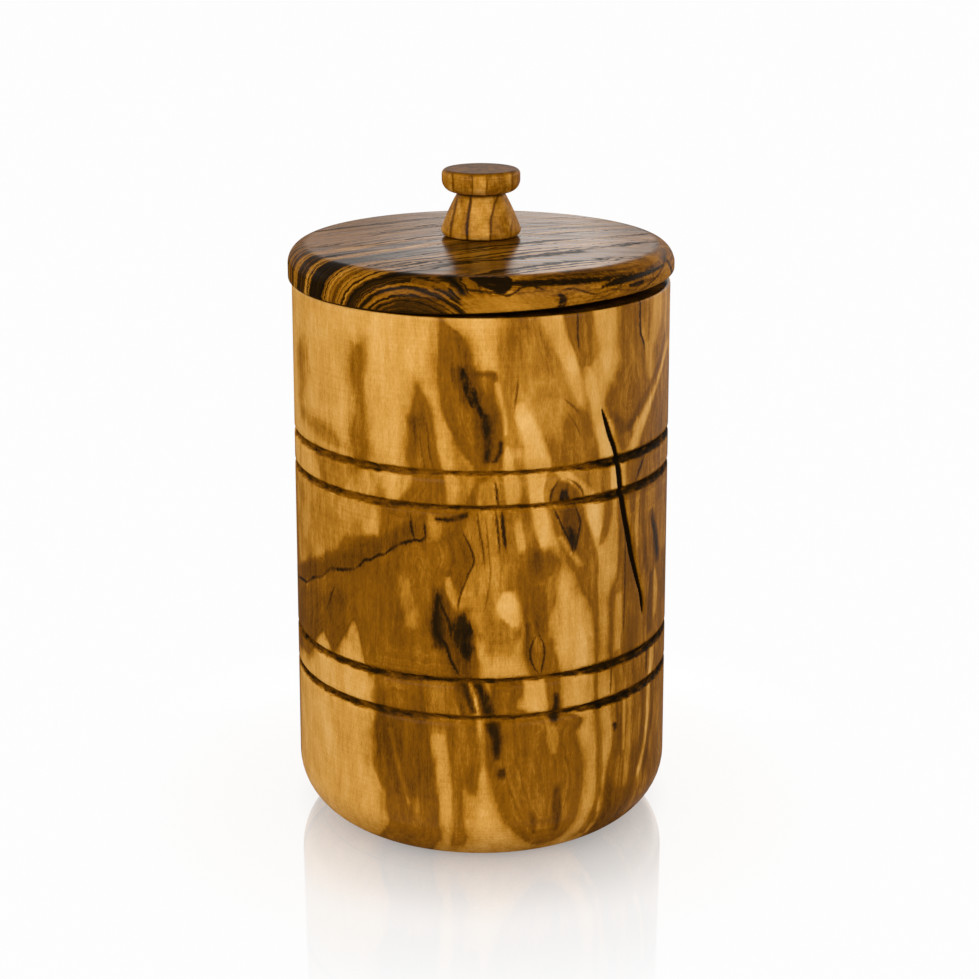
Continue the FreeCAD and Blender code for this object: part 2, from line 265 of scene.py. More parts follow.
JAR_BROWN = {
    "left streak": up(1.3, 0.5, (131, -32, -30), (125, -33, -30), (115, -32.2, -29.7),
        (110, -33.5, -29), (103, -32, -29)),
    "left blob": up(2.5, 0.3, (127, -56.4, -55.8), (121, -58, -53.5), (115, -57, -55.4)),
    "left smear": along(1.5, 0.26, (-56, 109.8, 110.2), (-48, 107.5, 109.5), (-44, 106.5, 109),
        (-36, 105.6, 106)),
    "left honey": up(7, 0.06, (93, -66, -27), (88, -66, -30), (80, -66, -38), (72, -66, -50)),
    "left mottle": up(2, 0.5, (101.5, -47, -31), (98, -46, -35), (95, -45, -37)),
    "left flame": up(0.8, 0.9, (123.5, -15.2, -14.8), (120, -16, -12.5), (115, -17, -11.2),
        (110, -17.3, -10.5), (105, -17.8, -9.3), (101, -16.3, -8.5), (95, -20, -8), (92, -22, -8)),
    "big flame top": up(0.7, 0.97, (142, -9.8, -8.8), (139, -9.8, -8.3), (136, -9.9, -4.5),
        (133, -10, -2.8), (128, -10, -1.8), (125, -10, -1.5)),
    "big flame": up(0.7, 0.97, (127.4, -10.1, 3.6), (124, -10, 4), (120, -9.5, 5), (115, -8, 5.5),
        (110, -5.5, 5.3), (107, -3.8, 5), (104, -1.3, 5), (102, -1.5, 3), (100.5, -1.6, 0.3),
        (98, -2.6, 0), (95, -4, -1), (93, -4.5, -2)),
    "beside pale block": up(1.2, 0.3, (142, 4.4, 10), (139, 4.3, 9.8), (130, 4.2, 10), (125, 4.4, 11),
        (121, 5.5, 9), (112, 5.8, 8.5), (109, 5.8, 9.5)),
    "honey brown": up(3, 0.48, (142, 9.5, 15), (137, 9.5, 16), (130, 9.5, 18.5), (125, 10, 20.5),
        (121, 11, 22.5)),
    "middle right": up(1.5, 0.76, (123, 13, 22.5), (120, 12, 23), (116, 13.5, 26.5), (112, 14.7, 28),
        (108, 16, 29.5), (103.5, 17, 30.3)),
    "slanted": up(0.9, 0.75, (142, 19.6, 28.3), (139, 19.8, 28.2), (135, 20.8, 29), (130, 23, 29.7),
        (127, 24.2, 27.5), (123.5, 25, 26)),
    "right brown": up(1.6, 0.85, (142, 35.2, 44), (139, 35.2, 44.1), (134, 35.4, 44.4), (131, 35.8, 45),
        (128, 36.8, 46.3), (125, 35.8, 47.5), (121, 33.5, 49.5), (117, 32.2, 49.3), (114.5, 33, 46.8),
        (112, 34.8, 43.8), (110, 37.2, 41.4), (109.2, 38.6, 40.2)),
    "right outer": up(3, 0.4, (142, 46, 71), (134, 46.5, 65), (128, 48, 67.5), (123, 49, 58),
        (119, 50, 53)),
    "under the vee": up(1.2, 0.6, (111, 34.8, 36.5), (108.5, 35.8, 41.5), (106, 36.8, 41.8),
        (104.5, 38, 41)),
    "right below": up(1.5, 0.78, (124, 62, 65), (118, 56, 69), (114, 52, 67), (110, 48.5, 72),
        (106, 45.5, 70), (103, 45, 75), (98, 46.5, 71), (93, 45, 76)),
    "band thin": up(0.6, 0.7, (102, 4.3, 5.6), (98, 4.6, 6), (94.5, 4.6, 6.2)),
    "band second": up(0.7, 0.6, (103, 8.6, 11), (98, 9, 11.5), (94.5, 9.2, 11.8)),
    "band knot": up(0.8, 0.6, (102.5, 15.8, 19.5), (99, 15.3, 23.5), (96, 15.2, 26), (93.5, 15.4, 22)),
    "band third": up(0.8, 0.55, (102, 31, 34.3), (98, 31, 33.8), (94.5, 31.5, 34)),
    "band tone": up(2, 0.34, (105, -4, 28), (99, -4, 28), (92, -3, 27)),
    "over the band": up(2, 0.3, (123, 20, 25), (119, 21, 26.5), (115, 22, 27)),
    "band right": up(1.5, 0.78, (103, 39.5, 46), (98, 39.5, 46.5), (94.5, 40, 44)),
    "stain": along(1, 0.95, (-72, 44.5, 64.5), (-66, 45.5, 67), (-60, 46.2, 69.5), (-55, 46.6, 72),
        (-52.5, 48, 73), (-50, 52.5, 74), (-48, 53.8, 75), (-45.8, 55.6, 76), (-43.5, 53.8, 77.7),
        (-41, 51.5, 78.3), (-39.5, 53.5, 79), (-38.2, 55.5, 81), (-36, 58.5, 83.4), (-33, 61.5, 83.6),
        (-31.4, 57, 84.2), (-30, 51, 84.6), (-26, 50, 85.6)),
    "middle brown": up(0.9, 0.95, (93.5, -24.8, -3), (91, -24.8, -3.3), (88, -25.2, -4),
        (86, -25.8, -3), (83, -27, -1.9), (81.5, -27.5, -1.6), (78, -28, -3), (75, -28.5, -4),
        (72.5, -29, -5), (69, -29.3, -5), (66, -29.5, -3.5), (62, -29.8, -1.8), (58, -30, -0.8),
        (54, -30, -0.3), (51, -29.5, -0.8)),
    "column tone": up(3, 0.14, (94, -3, 5), (80, -1.5, 5), (70, -3.5, 4.5), (62, -1.5, 1)),
    "beside column": up(0.6, 0.65, (93.5, 4.4, 7.6), (88, 5, 8), (84.5, 5.2, 8.7), (81, 5, 9)),
    "second beside": up(0.6, 0.65, (93.5, 9.8, 12.4), (88, 10.2, 13.2), (84, 10.8, 14.4),
        (82, 10, 15)),
    "over the drop": up(1, 0.5, (83, 5, 10), (79, 4.8, 10), (75, 4.8, 9.5), (73.6, 5, 8.5)),
    "leaning brown": up(0.9, 0.75, (83, 9.5, 15), (82, 9, 17), (80, 9, 19.5), (75, 8.5, 18.8),
        (70, 9.5, 18.5), (65, 10.5, 16.5), (60, 10.5, 17.5), (56, 11, 19), (51, 12.5, 20)),
    "under the drop": up(2.6, 0.45, (66.5, 0.5, 6.5), (64, -0.5, 10), (61.5, 0.5, 9), (60, 2.5, 6)),
    "round the knot": up(0.8, 0.82, (93.5, 16.5, 25.5), (90, 17.3, 26.3), (87, 18.3, 27.5),
        (84, 19.8, 28.5), (82, 20.5, 29.3), (80, 21, 30.3), (78, 22, 30.5), (75, 24, 30.3),
        (72, 24.7, 30.2), (69, 27, 30.3), (66, 28.2, 30.3), (60, 29.2, 30.6), (54, 29.5, 30.8),
        (50, 29.4, 30.5)),
    "short stripe": up(0.7, 0.65, (94, 31.7, 34), (89, 31.6, 34), (85, 31, 33.2), (82, 30.4, 31.6)),
    "right stripes": up(0.8, 0.8, (94, 36.2, 75), (84, 36.9, 70), (78, 36.9, 77), (73, 36.1, 72),
        (69.5, 34.2, 74), (60, 34, 69), (52, 34, 73), (45, 36, 78), (40, 36.5, 72), (30, 36, 76),
        (25, 34.6, 70), (20, 33.3, 71), (15, 32.7, 76), (8, 31.2, 70), (3, 29, 74), (-2, 27, 73)),
    "panel": up(0.8, 0.95, (51.5, -28, -14), (47, -27, -13.6), (43, -26.6, -13.2), (40, -26.6, -13),
        (36, -27.5, -12.3), (33, -27.5, -12), (31, -26.8, -11.6), (28, -28, -11.1), (22, -26.5, -10.6),
        (20, -25, -10.4), (15, -24.5, -10), (12, -23.7, -10), (9, -25, -10), (6, -28, -11.5),
        (3, -31, -13.5), (-2, -35, -16)),
    "beside panel": up(1.6, 0.42, (54, -14, -6), (46, -13.5, -6), (38, -13, -6)),
    "centre stripes": up(0.7, 0.68, (51, -9, -3), (43, -8.6, -1.6), (40, -8.6, -1.2), (30, -7.8, 0),
        (27, -7.4, -0.5), (24, -7, -3.5), (18, -7, -4.5), (12, -6.8, -3.8), (8, -7.5, -3.6),
        (6, -7.8, -4.5)),
    "centre stripe": up(0.6, 0.82, (42, -5, -1.4), (35, -5, -0.3), (30, -5.2, 0), (27, -4.7, -0.5),
        (24, -4, -1), (21.5, -2.6, -1.6)),
    "bowl": up(0.8, 0.95, (51, 2, 10.3), (47, 2.2, 10.3), (43, 1.8, 10.6), (41.5, 0.8, 17),
        (40, 0.6, 23.6), (35, 0.7, 24.4), (30, 1, 25.6), (26, 1.8, 26.4), (22, 2.8, 26.6),
        (18, 3.9, 26), (15, 5, 25.3), (12, 7, 24.5), (9, 9.7, 22.8), (7, 11.5, 21.5), (5.3, 14, 18.5)),
    "lower band": up(0.7, 0.7, (51, 15.6, 20), (47, 16, 20), (41.5, 16.5, 20.5)),
    "between pale strips": up(0.5, 0.72, (50, 29.3, 30.5), (43, 29.4, 30.6), (40, 29.5, 30.9),
        (30, 30.2, 32), (25, 30.4, 32.3), (20, 30.2, 31.9), (15, 29.7, 31), (10, 27.7, 30),
        (6, 26, 28.5)),
}

JAR_PALE = {
    "long pale flame": up(0.6, 0.75, (119, 8, 10.5), (115, 8.5, 13), (112, 9.7, 14.3), (110, 10.3, 15),
        (107, 10.7, 16), (104, 11, 16.7), (101, 11.4, 15.6), (97, 11.7, 15), (93, 12.5, 15.8),
        (90, 13, 16.3), (87, 13.7, 16.7), (84, 14.7, 16.3), (82, 15.4, 15.8)),
    "slanted pale": up(1.1, 0.62, (142, 14.5, 19.3), (139, 14.8, 19.5), (135, 16.5, 20.5),
        (130, 19, 22.8), (125, 21.2, 24), (120, 23.2, 24.8), (118, 24.2, 24.8)),
    "right pale top": up(1.6, 0.55, (142, 28.4, 34.8), (139, 28.5, 34.8), (135, 29.3, 35),
        (130, 30, 35.2), (126, 31.5, 35.6), (123, 32.5, 34)),
    "beside the crack": up(0.7, 0.5, (126.5, 26, 27), (122, 26.3, 29), (118, 27.5, 30.3),
        (114, 28.5, 31.3), (110, 29.7, 32.7), (106, 30.5, 34), (103, 30.8, 34.6)),
    "sliver": up(0.5, 0.7, (124.5, 3.5, 4.1), (120, 4.4, 5.1), (115, 5.5, 6.1), (112, 5.7, 6.2)),
    "wedge": up(0.5, 0.48, (109.5, 5.9, 6.4), (106, 5.8, 7.4), (103, 5.7, 8), (101, 5.8, 8.8),
        (98, 6.1, 9), (95, 6.4, 8.6)),
    "right diagonal": up(0.8, 0.52, (104, 39.5, 43.5), (106, 41, 44.5), (108, 42.8, 46),
        (111, 45.6, 48.2), (114, 48, 50.6), (117, 50.8, 53.4), (120, 54, 57), (123, 57.3, 60.5),
        (126, 60, 64)),
    "band slant": up(0.6, 0.55, (102, 18.5, 21.5), (99.5, 20.5, 24.5), (97, 24.8, 27.3),
        (95, 27, 29.5)),
    "band pale": up(0.6, 0.7, (103, 34.4, 36.2), (98, 34.2, 36.4), (94, 34.3, 36.4)),
    "knot rim": up(0.5, 0.6, (86, 19.2, 20), (83.5, 20.8, 21.8), (81, 22.4, 23.6), (78.5, 24.5, 25.3)),
    "pale wedge": up(0.6, 0.85, (94, 26.2, 31.6), (92, 26.5, 31.5), (89, 27.3, 31.5), (86, 28.5, 31),
        (84, 29.3, 30.3)),
    "streak in brown": up(1.4, 0.3, (75, -19, -18.2), (70, -18.5, -16.9), (65, -17.3, -16.6)),
    "blob in brown": up(0.8, 0.26, (92, -12, -9.8), (89, -11.8, -9.6), (86.5, -11.2, -10)),
    "second streak": up(0.8, 0.5, (77, -8.3, -7.4), (72, -7.9, -5.9), (66, -6.4, -5.7)),
    "drop": up(0.8, 0.8, (73.5, 5.5, 7), (71, 4, 8.5), (68, 4.3, 9), (66, 6, 9.3), (64.6, 7.5, 9)),
    "right pale line": up(0.6, 0.72, (50, 52.2, 54.5), (46, 52, 54.3), (40, 50.6, 52.2),
        (32, 50.2, 51.8), (25, 48.7, 50.3), (19, 46.2, 47.9), (14, 44.2, 45.9), (9, 43.8, 45.3),
        (5, 43, 44)),
    "lower band pale": up(0.7, 0.32, (50, 11, 15), (46, 11.1, 15.6), (43, 11.5, 16), (41.5, 12, 15)),
    "lower thin pale": up(0.4, 0.7, (50, -2.9, -1.9), (46, -2.2, -1), (42.5, -1.2, -0.5)),
    "bowl sliver": up(0.8, 0.3, (39.5, 16.2, 17.3), (36, 16.8, 18.8), (31, 18, 18.7)),
    "right spindle": up(0.8, 0.55, (69.5, 54.3, 54.9), (66, 54, 56.2), (62, 54.5, 56.3),
        (58, 54.5, 55.5)),
    "right thin pale": up(0.4, 0.5, (41, 39.4, 40.2), (34, 39.4, 40.2), (26, 39.2, 40)),
    "right pale upright": up(0.5, 0.26, (92, 44, 45), (84, 43.8, 44.9), (78, 44.5, 45.3)),
    "right pale middle": up(0.5, 0.4, (68, 36.5, 38), (60, 36.2, 38.4), (54, 36.3, 37.8)),
    "right pale low": up(0.6, 0.26, (40, 41.3, 42.4), (30, 41.2, 42.2), (18, 40, 41), (8, 38, 39)),
    "outer pale": up(1.2, 0.45, (141, 51.5, 56), (134, 51, 55.5), (129, 50, 53)),
    "inner pale": up(0.9, 0.4, (129, 47.8, 50.2), (124, 48, 50), (120.5, 49, 50)),
    "arch": up(2.5, 0.26, (124, 12.5, 17), (120, 11.5, 19), (116, 12.5, 18.5), (113, 14, 17)),
    "panel line": up(0.4, 0.45, (36.5, -23.2, -22.6), (30, -21.8, -21.2), (24, -20.2, -19.6),
        (17, -18.2, -17.6)),
}

JAR_DARK = {
    "flame smudge": up(0.9, 0.5, (116, -16.5, -13.5), (114.5, -16.8, -13.2), (113, -16, -13.8)),
    "over the bark line": along(1.6, 0.6, (-60, 65, 68.5), (-50, 69, 72.5), (-40, 74, 77),
        (-30, 78.8, 82.5), (-20, 84, 88), (-15, 86, 91)),
    "stain depth": along(4, 0.35, (-68, 50, 62), (-55, 52, 63), (-46, 58, 64), (-40, 60, 64.5)),
    "flame core": up(1.3, 0.55, (128, -6.5, -1.5), (124, -5.5, 0), (120, -4, 2), (115, -1.5, 3.5),
        (110, -0.5, 4), (106, 0, 4)),
    "under pale block": along(0.7, 0.7, (-2.5, 126, 127.4), (1, 126, 127.3), (3.6, 125.6, 127)),
    "vee rim": along(0.9, 0.55, (33.5, 113.3, 115.5), (36, 110.5, 113), (39, 108.8, 111),
        (41, 109, 111), (43, 111, 113), (46, 113.3, 115.5), (50, 116, 118.5), (55, 120.3, 122.8),
        (60, 126, 129)),
    "swirl": up(0.8, 0.6, (99.5, 18.5, 21.5), (97, 17, 23), (94.5, 17.5, 23.5)),
    "knot core": up(0.9, 0.8, (93, 18.6, 23.6), (90, 19.8, 24.4), (87, 21, 24.4), (84.5, 22, 24),
        (82.5, 22.6, 23.4)),
    "loop field": up(1.3, 0.6, (74, -11.5, -9), (68, -12, -6), (64, -12, -3), (60, -10, -2.5),
        (56, -8.5, -3), (52.5, -6.5, -3.5)),
    "right blotch": up(1.1, 0.9, (86, 51, 52.6), (82, 52.2, 54.6), (79, 53.3, 56), (75, 54, 57.6),
        (71, 55.2, 58)),
    "right far": up(2.5, 0.4, (72, 57, 66), (66, 58.5, 66), (60, 61, 66)),
    "right column": up(1, 0.48, (78, 40, 42.3), (70, 40, 43), (60, 40, 42.8), (52, 39, 42)),
    "right patch": up(0.8, 0.5, (93.5, 41, 43.6), (91, 41, 43.4), (88, 41.6, 42.8)),
    "first right stripe": up(0.9, 0.25, (41, 35.2, 37.5), (36, 35.6, 38.2), (30, 35.8, 38.8),
        (25, 35.5, 38.5)),
    "second right stripe": up(0.8, 0.5, (41, 48.2, 49.8), (32, 47.8, 50), (26, 46.6, 48.8),
        (20, 45.3, 46.6)),
    "third right stripe": up(0.8, 0.5, (40.5, 53.2, 54.8), (32, 53, 54.6), (25, 51, 52.6),
        (18, 48.6, 50), (12, 46.8, 48.2)),
    "eye left dark": up(0.9, 0.5, (65, 10.8, 13.2), (60, 10.9, 12.6), (57, 11.3, 13)),
    "eye right dark": up(0.8, 0.4, (60, 15.3, 17), (56, 15.5, 17.3), (53, 15.5, 17)),
    "leaning core": up(1.1, 0.5, (74, 12.5, 15), (70, 12.5, 16), (66, 12.5, 15.5), (62, 12.8, 15)),
    "leaning dark": up(1.2, 0.55, (83, 13, 17.5), (80, 12.5, 19), (76.5, 13, 17)),
    "fourth right stripe": up(0.8, 0.6, (93, 46.3, 47.6), (84, 46.8, 48), (76, 47.6, 49.2),
        (70, 49, 50.5)),
    "fifth right stripe": up(0.7, 0.35, (66, 43.5, 44.6), (58, 43, 44.4), (52, 42.5, 44)),
    "panel smudge": along(0.5, 0.5, (-20.2, 25.2, 26.2), (-16.8, 25.6, 26.8)),
    "right stripe": up(0.9, 0.7, (70, 51, 53), (62, 50.5, 52.8), (54, 50.3, 52.5)),
    "bowl low right": up(0.8, 0.92, (22, 18.3, 19.7), (16, 17.7, 20.2), (9.5, 18.5, 19.5)),
    "bowl low left": up(0.6, 0.75, (15.5, 12.2, 13.2), (12, 12.4, 13.6), (9.5, 12.8, 13.4)),
    "right foot": up(3, 0.7, (16, 33, 46), (8, 32, 44), (2, 30, 42)),
    "panel depth": up(3, 0.5, (41, -25, -15), (30, -24, -13), (20, -22, -12)),
    "lower band dark": up(0.7, 0.85, (50.5, -6.4, -4.6), (46, -5.6, -3.6), (42, -4.6, -3)),
}

JAR_INK = {
    "flame ink": up(0.7, 0.68, (128, -4.5, -4), (124, -4, -2), (121.5, -3.3, -0.7), (118, -1, 0.6),
        (116.5, 0.2, 1.6), (113, 0.9, 2.1), (109.5, 1.2, 2.2), (106, 1.1, 1.9)),
    "flame hook": up(0.4, 0.85, (110.5, 4.5, 5.1), (107.5, 4, 4.7), (105.6, 2.6, 3.6)),
    "swirl heart": up(0.5, 0.9, (97.8, 19.6, 20.8), (95.5, 19.2, 21.6), (94.2, 19.5, 22)),
    "knot heart": up(0.5, 0.8, (88, 21.4, 22.2), (85.5, 21.9, 23.4), (83, 22.6, 23.5)),
    "under the groove": along(0.3, 0.85, (-10.6, 91.3, 91.9), (-7.5, 91.2, 91.9), (-5.5, 91.6, 92.3),
        (-3.2, 92.4, 93.1)),
    "left blot": up(0.8, 0.95, (72, -10.6, -9.9), (67, -11.2, -9.9), (63, -11.4, -9.2),
        (60, -10.4, -9.3)),
    "right blot": up(1.2, 0.8, (67.5, -4.8, -4), (65, -6, -2.5), (62, -6, -2.2), (59, -5, -2.2),
        (56.5, -4.5, -3.5)),
    "band ink": up(0.6, 0.95, (50.3, -1.8, 0), (47, -0.6, 1.7), (42.5, 0.5, 2.6)),
    "second band ink": up(0.5, 0.85, (50, -4.3, -3.4), (46, -3.1, -2.2), (43, -2.1, -1.3)),
    "bowl ink": up(0.5, 0.9, (39.8, 1.5, 4), (38, 2, 4.2), (36, 2.8, 4.5), (33, 3.2, 4.3),
        (31, 3.6, 4.2)),
    "right ink": up(0.5, 0.85, (46, 18.3, 18.7), (43.5, 18, 19.1), (41.5, 17.2, 19.3), (40.6, 17, 19.4),
        (38.8, 17.9, 18.5)),
    "right blot core": up(1, 0.6, (84, 51.8, 52.4), (80, 53.4, 54.6), (76, 54.8, 56.2),
        (73, 55.6, 56.8)),
    "right spot": up(0.4, 0.7, (34.4, 36, 36.7), (33.6, 35.8, 37.1), (32.8, 36.3, 36.9)),
    "bowl spot": up(0.5, 0.55, (27.8, 4.6, 5.4), (26.8, 4.3, 5.7), (25.8, 4.7, 5.3)),
}

# Thin lines, in two sets, so that two that run close together are not in the same one
JAR_LINES = {
    "thin grey line": line(0.35, 0.6, (8.8, 126), (8.5, 122), (7.7, 117)),
    "slanted line": line(0.45, 0.7, (23.6, 142), (23.6, 138), (24, 130)),
    "right line": line(0.7, 0.85, (44.2, 142), (44.3, 138), (44.4, 134), (44.8, 131.5), (46, 129.5),
        (46.7, 126.5)),
    "column line": line(0.4, 0.75, (-4.5, 89), (-3, 86), (-1.8, 83), (-1.5, 81.5), (-3, 78), (-4, 75),
        (-5, 72.5), (-5.3, 69)),
    "first loop": line(0.7, 0.9, (-10.3, 74), (-10.6, 69), (-11, 65), (-10, 62), (-8.6, 60.5),
        (-7.5, 57), (-6.3, 54.5), (-5, 52)),
    "dash upper": line(0.3, 0.42, (1.3, 92), (1.6, 88), (2.3, 79)),
    "column right": line(0.8, 0.85, (5, 94), (5.4, 89), (6, 83.5)),
    "stripe line": line(0.45, 0.65, (39.4, 87), (39.5, 72), (39.2, 57)),
    "knot left": line(0.5, 0.85, (17.5, 94), (19.5, 89.5), (21, 86.5), (22.5, 83.5), (23, 81)),
    "eye left": line(0.45, 0.8, (13.5, 62.5), (11.9, 58), (12.6, 54.5), (14.5, 51.5)),
    "knot arch left": line(0.6, 0.7, (17.2, 93.6), (16.8, 96), (17.6, 98.4), (19.4, 100.6)),
    "bark hook": line(0.7, 0.85, (-15.6, 85), (-16.6, 88), (-16.9, 92)),
    "band line": line(0.6, 0.8, (3.4, 101.5), (3.8, 98), (4.3, 94)),
    "band diagonal": line(0.8, 0.7, (47.5, 101.5), (45, 98), (43, 95)),
    "stain line": line(0.5, 0.6, (-40.2, 70), (-42, 66.5), (-43.8, 62.5)),
    "upper diagonal": line(0.35, 0.6, (19.5, 120.3), (22, 118.2), (24.7, 115.4)),
    "left flame line": line(0.25, 0.45, (-13.2, 117), (-12.4, 112), (-12.2, 108), (-11, 103)),
    "right upright": line(0.4, 0.45, (45.6, 93), (45.3, 84), (45.2, 78), (45.5, 73)),
    "lower first": line(0.5, 0.6, (35, 51), (34.7, 42)),
    "lower second": line(0.4, 0.45, (43.6, 51), (43.4, 42)),
    "lower third": line(0.8, 0.65, (50.2, 51), (49.8, 42)),
    "lower fourth": line(0.6, 0.5, (55.3, 51), (55, 43)),
}

JAR_NEAR_LINES = {
    "second loop": line(0.55, 0.85, (-10, 72), (-9, 69), (-7.6, 66), (-7, 61.5)),
    "dash lower": line(0.3, 0.36, (2.6, 81), (2, 75), (1, 69)),
    "knot right": line(0.5, 0.8, (23.3, 93.5), (24.8, 89), (24.3, 86), (23, 81)),
    "eye right": line(0.45, 0.8, (14, 62.5), (15.5, 58.5), (15.3, 55.5), (14.5, 51.5)),
    "knot arch right": line(0.6, 0.65, (20.2, 100.8), (22.8, 99.4), (24.8, 97.4), (26, 94.6)),
    "bark end": line(0.7, 0.85, (-13, 86), (-13.3, 88), (-13.4, 91)),
    "second column": line(0.55, 0.7, (3.5, 94), (4.1, 89), (4.5, 83)),
    "column stroke": line(0.4, 0.55, (-0.8, 94), (-0.3, 89), (0.6, 84), (0.9, 80)),
    "lower diagonal": line(0.3, 0.5, (21.5, 116), (23.3, 113.2), (24.8, 110)),
    "second flame line": line(0.25, 0.4, (-14.4, 113), (-14.2, 109), (-13.2, 104), (-13, 101)),
}

# The thin dark bark line that steps up across the left of the jar: (across, height)
BARK_LINE = (
    (-66, 63.5), (-62, 65), (-55, 66), (-51, 68.5), (-46, 70.3), (-44, 72), (-42, 73.6), (-37, 74.5),
    (-33, 75.6), (-31, 77.3), (-30, 78.6), (-28, 79), (-25.5, 80.8), (-24, 81), (-22.5, 82.5),
    (-19.5, 84.5), (-16, 85.8), (-14.5, 85.7), (-13, 87),
)
BARK_HALF_WIDTH = 0.5

# The drying crack: (height, left, right)
CRACK = (
    (116, 30.9, 31.1), (113.5, 31.6, 32.5), (111, 32.4, 33.6), (108.5, 33.3, 34.6), (106, 34.5, 35.8),
    (103.5, 35.4, 36.6), (100, 36.1, 37.7), (95, 36.9, 38.5), (91.5, 37.6, 39.3), (87, 38.7, 40.4),
    (82, 40.1, 41.9), (78, 41.2, 42.9), (73.5, 42.9, 44.5), (70, 44.3, 45.8), (66.5, 45.9, 47.2),
    (63, 46.8, 48.2), (60, 47.6, 48.2),
)


def crack_fields(across, height):
    """The signed distance across to the crack's middle, and its half width, below 0 past its ends."""
    heights, left, right = np.array(CRACK[::-1]).T
    offset = near(across, 40) - through(height, heights, (left + right) / 2)
    ends = np.minimum(height - heights[0], heights[-1] - height)
    half = np.where(ends > 0, through(height, heights, (right - left) * 0.58), np.maximum(ends, -1))
    return offset, half


BACK_START = 72                # past this distance round from the front, the figure is made up


def back_marks(seed, count, width, strength):
    """Flames for the side that the photograph does not show: wandering upright marks from a seeded draw."""
    draw = np.random.default_rng(seed)
    marks = []
    for middle in np.linspace(BACK_START, GIRTH - BACK_START, count):
        low = draw.uniform(-20, 60)
        heights = np.linspace(low, low + draw.uniform(50, 130), 8)
        drift = np.cumsum(draw.normal(0, 1.1, 8)) + middle + draw.uniform(-2, 2)
        half = width * draw.uniform(0.4, 1.3) * np.sin(np.linspace(0.15, math.pi - 0.15, 8))
        rows = zip(heights, drift - half, drift + half)
        marks.append(up(draw.uniform(0.6, 1.3), strength * draw.uniform(0.75, 1.1), *rows))
    return marks


# Jar

def wall_radius(height):
    """The tapered outside of the jar."""
    return FOOT_RADIUS - JAR_TAPER * height / JAR_HEIGHT


def groove_fall(height):
    """How deep the grooves cut at a height: circular sections of the set width and depth."""
    section = (GROOVE_WIDTH ** 2 / 4 + GROOVE_DEPTH ** 2) / (2 * GROOVE_DEPTH)
    fall = np.zeros_like(height)
    for middle in GROOVES:
        offset = np.minimum(np.abs(height - middle), section)
        fall = np.maximum(fall, GROOVE_DEPTH - section + np.sqrt(section ** 2 - offset ** 2))
    return fall


def jar_outline():
    """From under the foot, round it, up the grooved wall, over the rim, and down to the inner floor."""
    wall_start = wall_radius(FOOT_ROUND)
    heights = np.arange(FOOT_ROUND + 1, JAR_HEIGHT - RIM_ROUND, 1.1)
    for middle in GROOVES:
        heights = heights[np.abs(heights - middle) > GROOVE_WIDTH / 2 + 0.3]
        heights = np.concatenate([heights, middle + np.linspace(-1, 1, 9) * (GROOVE_WIDTH / 2 + 0.15)])
    heights = np.sort(heights)
    wall = np.stack([wall_radius(heights) - groove_fall(heights), heights], 1)
    inner = BORE_RADIUS - FLOOR_ROUND
    return np.concatenate([
        [[0, 0]],
        run((0, 0), (wall_start - FOOT_ROUND, 0), 3),
        arc((wall_start - FOOT_ROUND, FOOT_ROUND), FOOT_ROUND, -90, 0, 16),
        wall,
        arc((RIM_RADIUS - RIM_ROUND, JAR_HEIGHT - RIM_ROUND), RIM_ROUND, 0, 90, 5),
        arc((BORE_RADIUS + MOUTH_ROUND, JAR_HEIGHT - MOUTH_ROUND), MOUTH_ROUND, 90, 180, 6),
        run((BORE_RADIUS, JAR_HEIGHT - MOUTH_ROUND), (BORE_RADIUS, FLOOR + FLOOR_ROUND), 7),
        arc((inner, FLOOR + FLOOR_ROUND), FLOOR_ROUND, 0, -90, 6),
        run((inner, FLOOR), (0, FLOOR), 3),
        [[0, FLOOR]],
    ])


def jar_piece():
    """The jar, with its grooves and crack cut in, and the drawn figure of its wood."""
    jar = Turned(jar_outline(), column_angles(390, 120))
    across = jar.side * FLAT_RADIUS
    height = jar.height
    outside = (jar.radius > BORE_RADIUS + WALL / 2) & (height < JAR_HEIGHT - 0.1) | (height < 1)
    crack, crack_half = crack_fields(across, height)
    crack_half = np.where(outside, crack_half, -1)
    bark_places, bark_heights = np.array(BARK_LINE).T
    along_bark = (across > bark_places[0]) & (across < bark_places[-1]) & outside
    bark = (height - np.interp(across, bark_places, bark_heights)) / BARK_HALF_WIDTH
    nearest = np.array(GROOVES)[np.argmin(np.abs(height[:, :1] - np.array(GROOVES)), 1)][:, None]
    in_groove = np.clip(2 * (height - nearest) / GROOVE_WIDTH, -2, 2)
    brown = list(JAR_BROWN.values()) + back_marks(11, 19, 4.2, 0.85)
    fields = {
        "brown": drawn(brown, across, height),
        "inside": deepest(brown, across, height),
        "pale": drawn(list(JAR_PALE.values()) + back_marks(5, 9, 2.2, 0.7), across, height),
        "dark": drawn(list(JAR_DARK.values()) + back_marks(23, 8, 1.6, 0.6), across, height),
        "ink": drawn(JAR_INK.values(), across, height),
        "crack": crack,
        "crack_half": crack_half,
        "bark": np.where(along_bark, np.clip(bark, -9, 9), 9.0),
        "groove": in_groove,
        "groove_near": np.where(outside, np.clip(3 - 2 * np.abs(in_groove), 0, 1), 0),
        # the rim's top and mouth: end grain, which the shader darkens partly as its own tone and partly as
        # painted shade
        "end_grain": np.where(outside, 0.0, 1.0) * (height > JAR_HEIGHT - MOUTH_ROUND),
    }
    fields.update(line_fields("line", JAR_LINES.values(), across, height))
    fields.update(line_fields("near", JAR_NEAR_LINES.values(), across, height))
    sunk = np.clip(crack_half + 0.5 - np.abs(crack), 0, 1)
    jar.radius = jar.radius - CRACK_DEPTH * sunk ** 2 * (3 - 2 * sunk)
    return jar.build("jar_figured", fields)


# Lid

